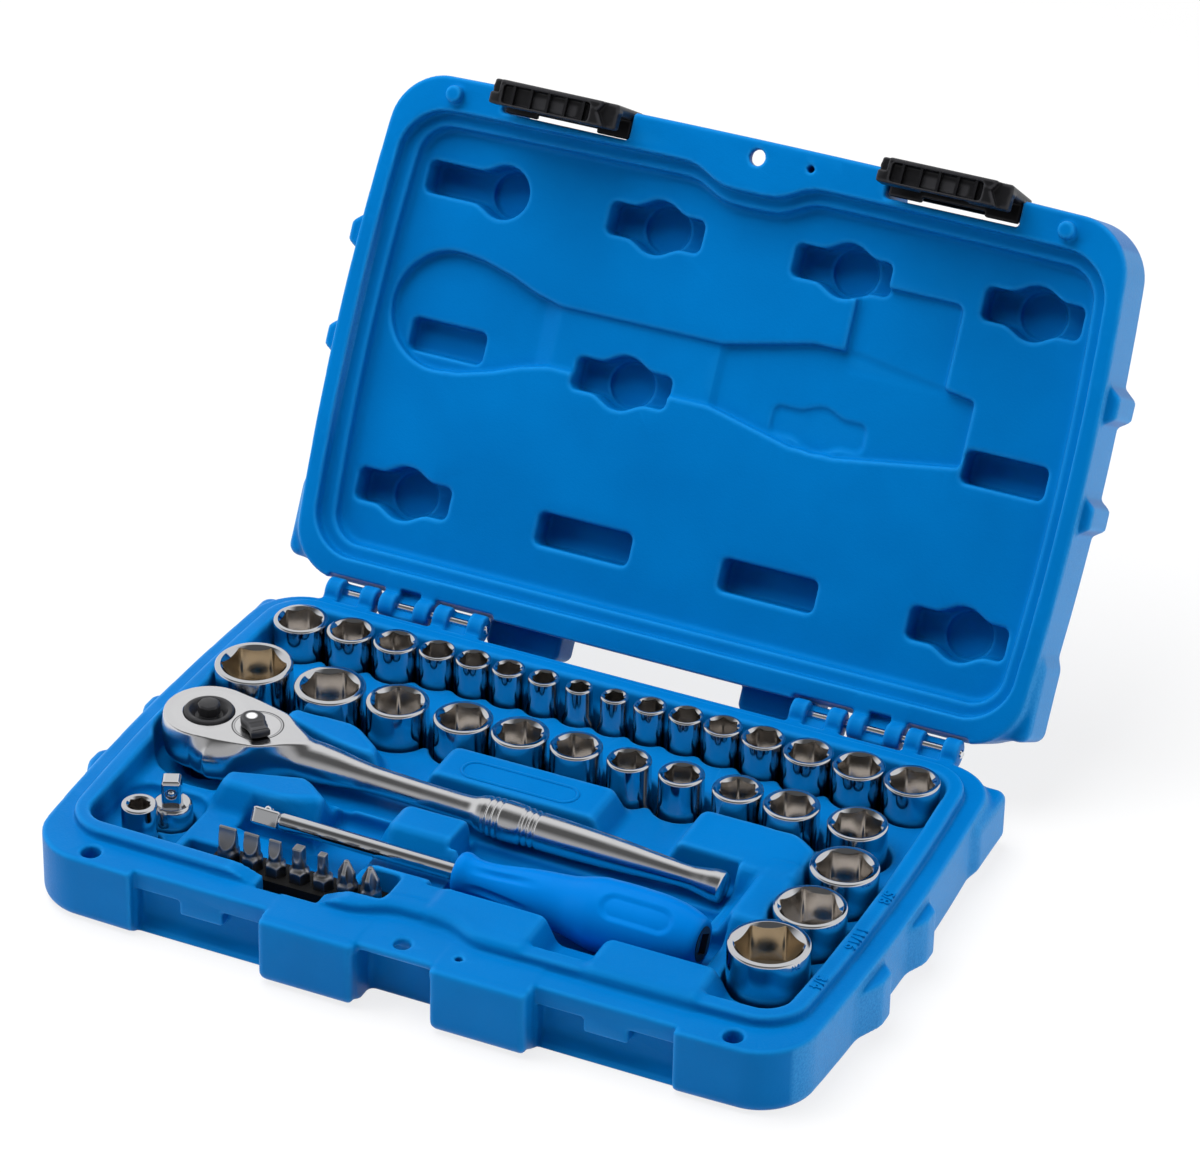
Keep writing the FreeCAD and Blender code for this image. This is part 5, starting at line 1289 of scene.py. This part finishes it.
def smooth_rows(rows, step):
    """More stations between the given ones, on a smooth line through them."""
    given = np.array(rows, float)
    place = np.arange(given[0, 0], given[-1, 0], step)
    slope = np.gradient(given[:, 1], given[:, 0])
    spot = np.clip(np.searchsorted(given[:, 0], place, "right") - 1, 0, len(given) - 2)
    gap = given[spot + 1, 0] - given[spot, 0]
    t = (place - given[spot, 0]) / gap
    radius = ((2 * t**3 - 3 * t**2 + 1) * given[spot, 1] + (t**3 - 2 * t**2 + t) * gap * slope[spot]
              + (3 * t**2 - 2 * t**3) * given[spot + 1, 1] + (t**3 - t**2) * gap * slope[spot + 1])
    return np.append(place, given[-1, 0]), np.append(radius, given[-1, 1])


def flat_sided(half, sides, corner, count=48):
    """Radii of a bar with flat sides and its corners taken off."""
    step = 2 * math.pi / sides
    facing = (np.arange(count) * 2 * math.pi / count + step / 2) % step - step / 2
    return np.minimum(half / np.cos(facing), half * corner)


def squared(half):
    return flat_sided(half, 4, 1.28)


def merge(name, *pieces):
    """One piece out of several, in the place of the first."""
    shape = bmesh.new()
    for piece in pieces:
        shape.from_mesh(piece.data)
    first = pieces[0]
    shape.to_mesh(first.data)
    shape.free()
    for piece in pieces[1:]:
        bpy.data.objects.remove(piece)
    first.name = name
    return first


# %% [markdown]
# ## Pins, adapter and the square ends
# The hinge pins show through the windows of the knuckles. The adapter is a short barrel with a square on top; its
# detent ball is the frame's own.

# %% Pins and adapter
TO_Z = Matrix.Rotation(-math.pi / 2, 4, "Y")
PIN_LONG = 3 * KNUCKLE_PITCH
PIN_ROWS = ((0, 0.9), (0.25, 1.3), (0.6, 1.5), (PIN_LONG - 0.6, 1.5), (PIN_LONG - 0.25, 1.3), (PIN_LONG, 0.9))
hinge_line = Matrix.Translation((0, HINGE_Y, RIM))
pins = [lathe("hinge_pin", [(side * HINGE_MIDDLE - PIN_LONG / 2 + x, r) for x, r in PIN_ROWS], hinge_line, 32)
        for side in (-1, 1)]
fit(merge("hinge_pin_pair", *pins), "base", pin_steel, "pin_steel", "hinge_pins")

SEAT_RADIUS, SEAT_DEEP, NOSE_LONG, NOSE_TAPER, SQUARE_ROUND = 1.85, 1.1, 1.0, 0.7, 1.28


def square_end(name, half, length, ball_high, placement):
    """A square drive that stands on Z, with its corners taken off and a seat for a detent ball."""
    end = Moulding((-half, -half, 0), (half, half, length), END_CELL)

    def bar(x, f, z):
        sides = round_max(np.abs(x) - half, np.abs(f) - half, 0.5)
        nose = np.maximum(np.abs(x), np.abs(f)) - half + NOSE_TAPER * (z - length + NOSE_LONG)
        return round_max(round_max(np.maximum(sides, np.hypot(x, f) - SQUARE_ROUND * half), nose, 0.3),
                         np.maximum(-z, z - length), 0.3)
    end.join(bar, 0.01)
    end.carve(lambda x, f, z: np.maximum(np.hypot(f, z - ball_high) - SEAT_RADIUS, half - SEAT_DEEP - x), 0.2)
    return moulded_piece(name, end, END_TRIANGLES, placement)


low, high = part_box("drive_adapter")
middle = (low + high) / 2 / MM
ADAPTER_YAW = math.radians(-66)
upwards = Matrix.Translation((middle.x, middle.y, low.z / MM)) @ Matrix.Rotation(ADAPTER_YAW, 4, "Z")
SQUARE, BARREL_TOP, ADAPTER_LONG, ADAPTER_BALL = 6.35 / 2, 16.0, 26.0, 5.5
BARREL_ROWS = [(0, 5.9), (0.7, 6.6), (15.6, 6.6), (16.4, 6.2), (16.7, 5.7), (16.4, 5.0), (16.3, 3.4)]
barrel = lathe("adapter_barrel", BARREL_ROWS, upwards @ TO_Z)
male = square_end("adapter_male", SQUARE, ADAPTER_LONG - BARREL_TOP, ADAPTER_BALL,
                  upwards @ Matrix.Translation((0, 0, BARREL_TOP)))
fit(merge("adapter_turned", barrel, male), "adapter", socket_chrome, "socket_chrome", "drive_adapter")


# %% [markdown]
# ## Bits
# A bit is a hexagon bar whose tip is ground. Grinding takes away everything beyond a few curved faces, and that is
# just what distances do: the tip is the part that the round shank and the ground faces share.

# %% Ground tips
BIT_FLATS, BIT_HEX, BIT_LONG, BIT_STEP = 6.35, 17.0, 25.0, 0.24


def hexagon_bar(x, y, flats):
    sides = [np.abs(x * math.sin(a) + y * math.cos(a)) for a in (0, math.pi / 3, 2 * math.pi / 3)]
    return np.maximum(np.maximum(sides[0], sides[1]), sides[2]) - flats / 2


def ground(kind, tip, x, y, z):
    """Distance from the ground faces of a tip, negative where metal is left."""
    down = np.maximum(BIT_LONG - z, 0)
    if kind == "slotted":
        return np.maximum(np.abs(y) - 0.5 - 2.6 * (down / 7.0) ** 1.9, np.abs(x) - tip / 2 - 0.3 * (down / 9) ** 3)
    if kind == "square":
        half = 0.40 * tip + 0.03 * down + 1.4 * (down / 6.0) ** 5
        return np.maximum(np.abs(x), np.abs(y)) - half
    cone = np.hypot(x, y) - 0.75 - 0.52 * down
    groove = 1.55 - np.hypot(np.abs(x) - 1.75 - 0.16 * down, np.abs(y) - 1.75 - 0.16 * down)
    return round_max(cone, groove, 0.2)


def build_bit(name, tip):
    kind = name.split("_")[0]
    bit = Moulding((-4, -4, 0), (4, 4, BIT_LONG), BIT_STEP)
    shank = 2.85 if kind == "cross" else tip / 2 + 0.15

    def bar(x, f, z):
        hexed = round_max(hexagon_bar(x, -f, BIT_FLATS), np.hypot(x, f) - 3.0 - 0.8 * (BIT_HEX - z), 0.2)
        return round_max(round_max(hexed, z - BIT_HEX, 0.3), -z, 0.4)

    def point(x, f, z):
        round_bar = round_max(np.hypot(x, f) - shank, np.maximum(4 - z, z - BIT_LONG), 0.2)
        return round_max(round_bar, ground(kind, tip, x, -f, z), 0.15)
    bit.join(bar, 0.01)
    bit.join(point, 1.6)
    low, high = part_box(name)
    middle = (low + high) / 2 / MM
    stands = Matrix.Translation((middle.x, middle.y, low.z / MM))
    piece = moulded_piece(name + "_ground", bit, BIT_TRIANGLES, stands)
    return fit(piece, name, bit_steel, "bit_steel", name)


TIPS = {"slotted_bit_large": 6.0, "slotted_bit_medium": 5.2, "slotted_bit_small": 4.2, "square_bit_large": 4.2,
        "square_bit_small": 3.2, "cross_bit_large": 6.0, "cross_bit_small": 4.6}
for name, tip in TIPS.items():
    build_bit(name, tip)


# %% [markdown]
# ## Ratchet
# The ratchet is forged: a flat pear-shaped head runs into a round neck with no seam. Distances make that blend, and
# hollow the head for the drive. The handle is turned, with two groups of rings where the hand holds it. The circle
# that the lever swings in is engraved, so it is a mark in the finish.

# %% Finish of the ratchet
lever_spot = joints["reversing_lever_flip"]["pos_m"]
LEVER_REST, LEVER_ASIDE, DOT_BACK = math.radians(-43), 1.6, 1.2
RING_RADII, RING_WIDE, DOT_WIDE = (0.0083, 0.0076), 0.0003, 0.0021
ENGRAVED, DOT_WHITE = (0.07, 0.07, 0.075), (0.85, 0.85, 0.85)
lever_dot = Vector(lever_spot) + MM * (Matrix.Rotation(LEVER_REST, 3, "Z") @ Vector((-DOT_BACK, -LEVER_ASIDE, 0)))


def make_ratchet_steel():
    finish = metal("ratchet_steel", (0.61, 0.61, 0.62), (0.64, 0.64, 0.65), 0.17, 90.0, 0.09)
    rings = [finish.effect(ROUND_MARK, Centre=lever_spot, Radius=radius, Width=RING_WIDE)["Mark"]
             for radius in RING_RADII]
    engraved = maths(finish.tree, "MAXIMUM", rings[0], maths(finish.tree, "MULTIPLY", rings[1], 0.5))
    before = finish.shader.inputs["Base Color"].links[0].from_socket
    finish.link(finish.mixed(maths(finish.tree, "MULTIPLY", engraved, 0.9), before, ENGRAVED), "Base Color")
    return finish.material


def make_black_steel():
    finish = metal("black_steel", (0.02, 0.02, 0.022), (0.06, 0.06, 0.064), 0.32, 150.0, 0.12)
    finish.shader.inputs["Metallic"].default_value = 0.0
    finish.shader.inputs["Specular IOR Level"].default_value = 0.3
    dot = finish.effect(ROUND_MARK, Centre=lever_dot, Radius=0.0, Width=DOT_WIDE)["Mark"]
    before = finish.shader.inputs["Base Color"].links[0].from_socket
    finish.link(finish.mixed(dot, before, DOT_WHITE), "Base Color")
    return finish.material


ratchet_steel, black_steel = make_ratchet_steel(), make_black_steel()

# %% Head of the ratchet
ratchet_place = (Matrix.Translation(ratchet_spot) @ Matrix.Rotation(RATCHET_YAW, 4, "Z")
                 @ Matrix.Rotation(RATCHET_PITCH, 4, "Y"))
HEAD_TOP, HEAD_BOTTOM, HEAD_NOSE, HEAD_WIDE, HEAD_STEP = 7.3, 7.5, 15.6, 17.0, 7.5
HEAD_BEND, BEND_HALF, HEAD_POINT, POINT_ROUND = 23.3, 11.2, 35.8, 2.0
FLAT_RADIUS, FLAT_WIDE, FLAT_TAPER = 14.8, 15.0, 0.17
LEVER_STEP = 18.2
HEAD_HOLLOWS = ((0, 11.9, -5.9, 6.1), (0, 12.65, -10, -5.8), (0, 8.3, 0, 10),
                (LEVER_STEP, 6.8, -5.9, 6.1), (LEVER_STEP, 2.9, 0, 10))
NECK = ((24, 7.0), (36, 6.9), (42, 6.7), (48, 6.1), (54, 5.2), (60, 4.6), (68, 4.4))
NECK_END = 66.0


def head_shape(x, f, z):
    taper = HEAD_WIDE - (HEAD_WIDE - BEND_HALF) * (x - HEAD_STEP) / (HEAD_BEND - HEAD_STEP)
    point = (np.hypot(f, POINT_ROUND) + x - HEAD_POINT) * 0.707
    tail = round_max(np.maximum((np.abs(f) - taper) * 0.94, HEAD_STEP - x), point, 2.0)
    body = round_min(np.minimum(np.hypot(x, f) - HEAD_NOSE, np.hypot(x - HEAD_STEP, f) - HEAD_WIDE), tail, 2.0)
    sides = np.maximum((np.abs(f) - FLAT_WIDE + FLAT_TAPER * x) * 0.986, 2.5 - x)
    flat = np.minimum(np.hypot(x, f) - FLAT_RADIUS, round_max(sides, point, 2.0))
    share = np.clip(z / HEAD_TOP, 0, 1) ** 1.5
    plan = body + share * (np.maximum(flat, body) - body) + 0.035 * np.maximum(HEAD_TOP - 4 - z, 0) ** 1.5
    return round_max(round_max(plan, z - HEAD_TOP, 0.4), -HEAD_BOTTOM - z, 2.2)


def build_head():
    head = Moulding((-17, -18, -8), (NECK_END, 18, 8), HEAD_CELL)
    head.join(head_shape, 0.01)
    stations, radii = np.array(NECK).T

    def neck(x, f, z):
        bar = np.hypot(f, z) - np.interp(x, stations, radii)
        return np.maximum(bar, np.maximum(26 - x, x - NECK_END))
    head.join(neck, 4.5)
    head.d = round_max(head.d, head.axes[2][None, None, :] - HEAD_TOP, 0.5)

    for x0, r, low, high in HEAD_HOLLOWS:
        head.carve(upright(disc(x0, 0, r), low, high, 0.2), 0.3)
    return moulded_piece("ratchet_head", head, HEAD_TRIANGLES, ratchet_place)


# %% [markdown]
# The handle is turned from a bar, so it is a line of stations. Each ring is a small dip in that line, and the end
# flares out to keep the hand from slipping off.

# %% Handle of the ratchet
GRIP = ((62, 4.55), (68, 4.42), (86, 4.35), (94, 4.5), (97, 4.9), (99.5, 5.9), (101, 6.2), (122, 6.2), (128, 6.1),
        (135, 5.9), (150, 5.2), (165, 4.25), (173, 4.05), (178, 4.8), (181.5, 5.35), (183.6, 5.35))
RING_GROUPS = (102.6, 115.4)
RING_PITCH, RING_DEEP, RING_HALF, RINGS = 2.2, 0.55, 0.55, 3
GRIP_END = [(184.3, 5.0), (184.6, 4.4)]


def build_grip():
    place, radius = smooth_rows(GRIP, 0.3)
    for start in RING_GROUPS:
        for ring in range(RINGS):
            radius = radius - RING_DEEP * np.exp(-((place - start - ring * RING_PITCH) / RING_HALF) ** 2)
    return lathe("ratchet_grip", list(zip(place, radius)) + GRIP_END, ratchet_place, 64, 60)


ratchet_piece = merge("ratchet_forging", build_head(), build_grip())
fit(ratchet_piece, "ratchet", ratchet_steel, "ratchet_steel", "ratchet_body")

# %% [markdown]
# The drive is a toothed wheel with a hub on top and a square below. The button that frees a socket sits in the hub.
# The lever is small and soft in shape, so it is made from distances: a round knob and a thumb piece run together, with
# a hollow for the thumb and two grooves.

# %% Drive and release button
upright_ratchet = ratchet_place @ TO_Z
HUB_TOP, TEETH = HEAD_TOP + 0.6, 36
teeth = 11.4 - 0.9 * (np.arange(2 * TEETH) % 2)
WHEEL_ROWS = [(-5.6, 8.0), (-5.6, teeth), (2.3, teeth), (2.3, 8.15), (7.5, 8.15), (HUB_TOP - 0.2, 8.0),
              (HUB_TOP, 7.7), (HUB_TOP, 6.6), (HUB_TOP - 0.3, 6.2), (5.4, 4.6), (5.3, 3.1)]
fit(lathe("drive_wheel", WHEEL_ROWS, upright_ratchet, 2 * TEETH), "drive", black_steel, "black_steel", "drive_gear")
ANVIL_ROWS = [(-18.5, squared(3.6)), (-18.1, squared(4.4)), (-17.6, squared(4.76)), (-7.6, squared(4.76)),
              (-7.4, 7.5), (-5.7, 7.5)]
fit(lathe("drive_square", ANVIL_ROWS, upright_ratchet), "drive", ratchet_steel, "ratchet_steel")
KNOB_SIDES, KNOB_CORNER = 8, 1.06
KNOB_ROWS = [(6.5, 3.3)] + [(high, flat_sided(half, KNOB_SIDES, KNOB_CORNER)) for high, half in (
    (6.6, 3.5), (9.6, 3.5), (10.2, 3.1), (10.3, 2.9))]
knob = lathe("release_knob", KNOB_ROWS, upright_ratchet, 48, 30)
fit(knob, "button", black_steel, "black_steel", "release_button")

# %% Reversing lever
LEVER_LOW, LEVER_HIGH, LEVER_LONG = HEAD_TOP + 0.3, HEAD_TOP + 3.3, 8.2
LEVER_KNOB, LEVER_STEM, THUMB_HALF, THUMB_TAPER, THUMB_FLARE = 3.9, 2.7, 3.3, 0.08, 0.6
THUMB_HOLLOW, HOLLOW_AT, HOLLOW_UP = 2.9, 4.2, 2.3
GROOVES, GROOVE_RADIUS = (6.0, 7.2), 0.34


def along_lever(x0, up, r):
    """A round hollow across the lever."""
    return lambda x, f, z: np.hypot(x - x0, z - LEVER_HIGH - up) - r


def build_lever():
    lever = Moulding((-7, -6, 3), (10, 6, 11), LEVER_CELL)
    knob = disc(-DOT_BACK, 0, LEVER_KNOB)

    def plan(x, f):
        aside = f - LEVER_ASIDE
        half = THUMB_HALF - THUMB_TAPER * x + THUMB_FLARE * np.exp(-((x - LEVER_LONG) / 2.2) ** 2)
        thumb = np.maximum(np.abs(aside) - half, np.maximum(-x, x - LEVER_LONG + 0.05 * aside * aside))
        return round_min(knob(x, aside), thumb, 1.5)
    lever.join(upright(plan, LEVER_LOW, LEVER_HIGH, 0.9), 0.01)
    lever.carve(along_lever(HOLLOW_AT, HOLLOW_UP, THUMB_HOLLOW), 0.6)
    for groove in GROOVES:
        lever.carve(along_lever(groove, 0, GROOVE_RADIUS), 0.15)
    lever.join(upright(disc(0, 0, LEVER_STEM), HEAD_TOP - 4, LEVER_LOW + 1, 0.2), 0.1)
    spot = ratchet_place @ Matrix.Translation((LEVER_STEP, 0, 0)) @ Matrix.Rotation(LEVER_REST, 4, "Z")
    return moulded_piece("reversing_thumb", lever, LEVER_TRIANGLES, spot)


fit(build_lever(), "lever", black_steel, "black_steel", "reversing_lever")


# %% [markdown]
# ## Spinner handle
# A screwdriver grip that takes the small sockets: a chromed bar with a square end in a moulded blue handle. The grip
# is turned, but each station's radius also changes round the axis, which cuts the long flutes at the waist and three
# shallow pockets where the palm sits.

# %% Bar of the spinner
SPINNER_ROLL = math.radians(-30)
spinner_lies = (Matrix.Translation((spinner_spot[0], HINGE_Y - spinner_spot[1], RIM))
                @ Matrix.Rotation(SPINNER_YAW, 4, "Z"))
spinner_place = spinner_lies @ Matrix.Rotation(SPINNER_ROLL, 4, "X")
HALF_SQUARE, BAR_RADIUS, SPINNER_NECK, SPINNER_LONG = 2.85, 2.9, 71.0, 86.0
SQUARE_LONG, BALL_AT = 9.6, 4.5
bar_rows = [(8.9, 1.4), (9.0, 2.0), (9.4, 2.5), (10.0, 2.8), (10.7, BAR_RADIUS), (SPINNER_NECK + 6, BAR_RADIUS)]
tip = square_end("spinner_square", HALF_SQUARE, SQUARE_LONG, SQUARE_LONG - BALL_AT,
                 spinner_place @ Matrix.Translation((SQUARE_LONG, 0, 0)) @ TO_Z)
bar_piece = merge("spinner_bar", tip, lathe("spinner_round", bar_rows, spinner_place))
fit(bar_piece, "spinner", socket_chrome, "ratchet_steel", "spinner_shank")

# %% Grip of the spinner
SPINNER = ((1.6, 5.4), (2.0, 6.4), (2.8, 7.05), (3.8, 7.2), (4.8, 7.05), (6.0, 6.6), (7.5, 6.2), (9, 6.03), (11, 6.0),
           (15, 6.3), (20, 7.05), (25, 7.8), (29, 8.3), (35, 8.8), (41, 9.5), (46, 10.75), (50, 11.6), (54, 11.8),
           (66, 11.8), (71, 11.6), (75, 11.1), (79, 10.3), (82.5, 9.2), (84.8, 8.1), (85.7, 7.2), (86, 6.4))
GRIP_POINTS = 216
FLUTES, FLUTE_DEEP, FLUTE_HALF, FLUTE_AT, FLUTE_REACH = 6, 0.95, 1.7, 19.0, 13.5
FLAT_DEEP, FLAT_HALF, FLAT_STRAIGHT, FLAT_AT = 1.0, 4.9, 7.5, 66.0
FLAT_COUNT, FLAT_TURN = 3, math.radians(125.0)
INSERT_SEAT = ((0.2, 5.7), (2.0, 5.65), (2.2, 1.0))


def bump_of(value, middle, half):
    """1 in the middle of a stretch, falling smoothly to 0 at its ends."""
    return np.clip(1 - ((value - middle) / half) ** 2, 0, 1) ** 1.5


def build_spinner_grip():
    place, radius = smooth_rows(SPINNER, 0.5)
    angle = np.arange(GRIP_POINTS) * 2 * math.pi / GRIP_POINTS
    step, apart = 2 * math.pi / FLUTES, 2 * math.pi / FLAT_COUNT
    rows = []
    for along_axis, r in zip(place, radius):
        in_flute = ((angle + step / 2) % step - step / 2) * r
        in_flat = ((angle - FLAT_TURN + apart / 2) % apart - apart / 2) * r
        flute = FLUTE_DEEP * bump_of(along_axis, FLUTE_AT, FLUTE_REACH) * bump_of(in_flute, 0, FLUTE_HALF)
        off = np.hypot(max(abs(along_axis - FLAT_AT) - FLAT_STRAIGHT, 0), in_flat) / FLAT_HALF
        flat = FLAT_DEEP * np.clip(3.0 * (1 - off), 0, 1)
        rows.append((SPINNER_NECK + along_axis, r - flute - flat))
    rows += [(SPINNER_NECK + SPINNER_LONG - inwards, r) for inwards, r in INSERT_SEAT]
    return lathe("spinner_grip", rows, spinner_lies, GRIP_POINTS, 60)


fit(build_spinner_grip(), "spinner", handle_blue, "handle_blue", "spinner_handle")


# %% [markdown]
# ## Marks on the tray
# The column of large sockets has its sizes raised on the lip beside it, and one block carries an empty plate with a
# raised outline. The figures are text that is turned into a mesh; the outline is a thin rounded bead.

# %% Raised sizes
SIZES_ON_LIP = {"3_4": ("3/4", 124.2, 141.4), "11_16": ("11/16", 125.8, 115.3), "5_8": ("5/8", 125.9, 90.9)}
FIGURE_HIGH, FIGURE_THICK, FIGURE_BEVEL = 5.4, 0.35, 0.06


def raised_figures(name, text, x, f, top):
    curve = bpy.data.curves.new(name, "FONT")
    curve.body = text
    curve.size = FIGURE_HIGH * MM
    curve.extrude, curve.bevel_depth = FIGURE_THICK * MM, FIGURE_BEVEL * MM
    curve.align_x, curve.align_y = "CENTER", "CENTER"
    label = link_up(name, curve)
    graph = bpy.context.evaluated_depsgraph_get()
    mesh = bpy.data.meshes.new_from_object(label.evaluated_get(graph))
    bpy.data.objects.remove(label)
    piece = link_up(name, mesh)
    spot = Vector((x, HINGE_Y - f, top)) * MM
    mesh.transform(Matrix.Translation(spot) @ Matrix.Rotation(-math.pi / 2, 4, "Z"))
    return fit(piece, "base", case_blue, "case_blue")


for key, (text, x, f) in SIZES_ON_LIP.items():
    raised_figures("size_" + key, text, x, f, RIM + LIP_HIGH)

# %% The bare plate
PLATE_MIDDLE, PLATE_HALF, PLATE_ROUND, BEAD, BEAD_FLAT = (-3.0, 84.5), 15.5, 4.6, 0.6, 0.7


def build_bead():
    turns = np.linspace(-math.pi / 2, math.pi / 2, 17)
    right = [(PLATE_HALF + PLATE_ROUND * math.cos(a), PLATE_ROUND * math.sin(a)) for a in turns]
    line = right + [(-x, -y) for x, y in right]
    count, points, faces = 8, [], []
    for number, (x, y) in enumerate(line):
        ahead, behind = line[(number + 1) % len(line)], line[number - 1]
        out = Vector((ahead[1] - behind[1], behind[0] - ahead[0])).normalized()
        for i in range(count):
            a = 2 * math.pi * i / count
            points.append((PLATE_MIDDLE[0] + x + out.x * BEAD * math.cos(a),
                           HINGE_Y - PLATE_MIDDLE[1] + y + out.y * BEAD * math.cos(a),
                           BLOCK_TOP + BEAD * BEAD_FLAT * math.sin(a)))
            j, k = (i + 1) % count, (number + 1) % len(line)
            faces.append((number * count + i, number * count + j, k * count + j, k * count + i))
    piece = add_mesh("plate_bead", points, faces)
    piece.data.transform(Matrix.Scale(MM, 4))
    close_up(piece.data, 80)
    return fit(piece, "base", case_blue, "case_blue")


build_bead()


# %% [markdown]
# ## What stays as it is in the frame
# Balls, springs, the pawl and the other small parts are right as they are, so they only get their finish.

# %% Finishes of the other parts
finishes = {"case_blue": case_blue, "latch_black": latch_black, "strip_black": strip_black, "handle_blue": handle_blue,
            "socket_chrome": socket_chrome, "ratchet_steel": ratchet_steel, "black_steel": black_steel,
            "bit_steel": bit_steel, "pin_steel": pin_steel}
for row in frame["record"]["subparts"]:
    part = frame["nodes"][row["node"]]
    part.data.materials.clear()
    part.data.materials.append(finishes[row["material_slot"]])
print("dressed", len(frame["nodes"]), "parts of the frame")


# %% [markdown]
# ## Camera, light and floor
# The camera stands where the photograph was taken from, worked out from edges of the case whose sizes are known.

# %% Camera
IMAGE_WIDE = 1200
FOCAL_PIXELS = 5164.455
AZIMUTH, ELEVATION, ROLL = (math.radians(a) for a in (24.157, 31.547, 1.182))
AIM, DISTANCE = Vector((-33.27, HINGE_Y + 42.31, RIM)) * MM, 1762.2 * MM


def add_camera():
    back = Vector((math.sin(AZIMUTH) * math.cos(ELEVATION), -math.cos(AZIMUTH) * math.cos(ELEVATION),
                   math.sin(ELEVATION)))
    right = Vector((math.cos(AZIMUTH), math.sin(AZIMUTH), 0))
    up = back.cross(right)
    right, up = (math.cos(ROLL) * right + math.sin(ROLL) * up, math.cos(ROLL) * up - math.sin(ROLL) * right)
    data = bpy.data.cameras.new("camera")
    data.sensor_fit = "HORIZONTAL"
    data.lens = FOCAL_PIXELS / IMAGE_WIDE * data.sensor_width
    data.clip_end = 20
    camera = link_up("camera", data)
    turn = Matrix((right, up, back)).transposed().to_4x4()
    camera.matrix_world = Matrix.Translation(AIM + back * DISTANCE) @ turn
    bpy.context.scene.camera = camera


add_camera()
bpy.context.scene.view_settings.view_transform = "Standard"


# %% [markdown]
# Three soft boxes light the set, as in a studio: a large one overhead and a smaller one on either side. Metal doesn't
# mirror the boxes themselves, because hard white squares in every socket would look unlike the photograph.

# %% Lamps
def add_lamp(name, spot, aim, size, watts):
    data = bpy.data.lights.new(name, "AREA")
    data.shape = "RECTANGLE"
    data.size, data.size_y = size
    data.energy = watts
    lamp = link_up(name, data)
    lamp.visible_glossy = False
    lamp.location = spot
    lamp.rotation_euler = (Vector(aim) - Vector(spot)).to_track_quat("-Z", "Y").to_euler()
    print(name, watts, "W")


add_lamp("overhead", (-0.35, 0.0, 1.3), (0, 0, 0), (1.1, 0.9), 22)
add_lamp("left_box", (-1.2, -0.5, 0.8), (0, 0, 0.05), (0.7, 0.7), 7)
add_lamp("right_box", (1.3, 0.2, 0.45), (0, 0, 0.05), (0.7, 0.7), 8)


# %% [markdown]
# The camera sees the world as plain white, and only the diffuse light from it is held lower, so colours stay full.
# Chrome sees a white room too, but with a dark ceiling over the front: that gives round metal its dark sides and its
# bright line along the top.

# %% What chrome sees
FILL = 0.18
DARK_FROM, DARK_TO = (math.radians(a) for a in (-16, 8)), (math.radians(a) for a in (66, 40))
DARK_FAR, DARK_NEAR, DARK_ENDS = 0.45, 0.88, (0.9, 0.6)
world = bpy.data.worlds.new("studio")
world.use_nodes = True
bpy.context.scene.world = world
tree = world.node_tree
background = tree.nodes["Background"]


def seen_rays(tree):
    """The kinds of ray in a tree, and 1 for the ones that show a background: direct, mirrored or through glass."""
    rays = put(tree, "ShaderNodeLightPath").outputs
    mirrored = maths(tree, "MAXIMUM", rays["Is Glossy Ray"], rays["Is Transmission Ray"])
    return rays, maths(tree, "MAXIMUM", rays["Is Camera Ray"], mirrored)


rays, seen = seen_rays(tree)
tree.links.new(ramp(tree, seen, 0.0, 1.0, FILL, 1.0), background.inputs["Strength"])
where = put(tree, "ShaderNodeTexCoord").outputs["Generated"]
apart = put(tree, "ShaderNodeSeparateXYZ", None, i0=where).outputs
tilt = maths(tree, "ARCTAN2", maths(tree, "MULTIPLY", apart["Y"], -1.0), apart["Z"])
ceiling = maths(tree, "MULTIPLY", ramp(tree, tilt, *DARK_FROM), ramp(tree, tilt, *DARK_TO, DARK_FAR, DARK_NEAR))
shade = maths(tree, "MULTIPLY", ceiling, ramp(tree, maths(tree, "ABSOLUTE", apart["X"]), *DARK_ENDS))
dimmed = maths(tree, "MULTIPLY", shade, rays["Is Glossy Ray"])
tree.links.new(maths(tree, "SUBTRACT", 1.0, dimmed), background.inputs["Color"])

# %% [markdown]
# The floor is a plain pale sheet. It glows a little for the camera, so that it meets the white of the world without
# a line, and what is left of its own shader keeps the shadow of the set.

# %% Floor
FLOOR_REACH, FLOOR_LOW, FLOOR_GLOW, FLOOR_PALE = 6.0, -0.0003, 0.8, (0.95, 0.95, 0.95, 1)
FLOOR_CORNERS = [(x * FLOOR_REACH, y * FLOOR_REACH, FLOOR_LOW) for x, y in ((-1, -1), (1, -1), (1, 1), (-1, 1))]
floor = add_mesh("floor", FLOOR_CORNERS, [(0, 1, 2, 3)], False)
floor_white = Finish("floor_white", 0.6)
floor_white.shader.inputs["Base Color"].default_value = FLOOR_PALE
seen = seen_rays(floor_white.tree)[1]
glow = put(floor_white.tree, "ShaderNodeEmission", None, Strength=1.0)
mix = put(floor_white.tree, "ShaderNodeMixShader", None, i0=maths(floor_white.tree, "MULTIPLY", seen, FLOOR_GLOW))
floor_white.tree.links.new(floor_white.shader.outputs[0], mix.inputs[1])
floor_white.tree.links.new(glow.outputs[0], mix.inputs[2])
floor_white.tree.links.new(mix.outputs[0], floor_white.tree.nodes["Material Output"].inputs["Surface"])
floor.data.materials.append(floor_white.material)
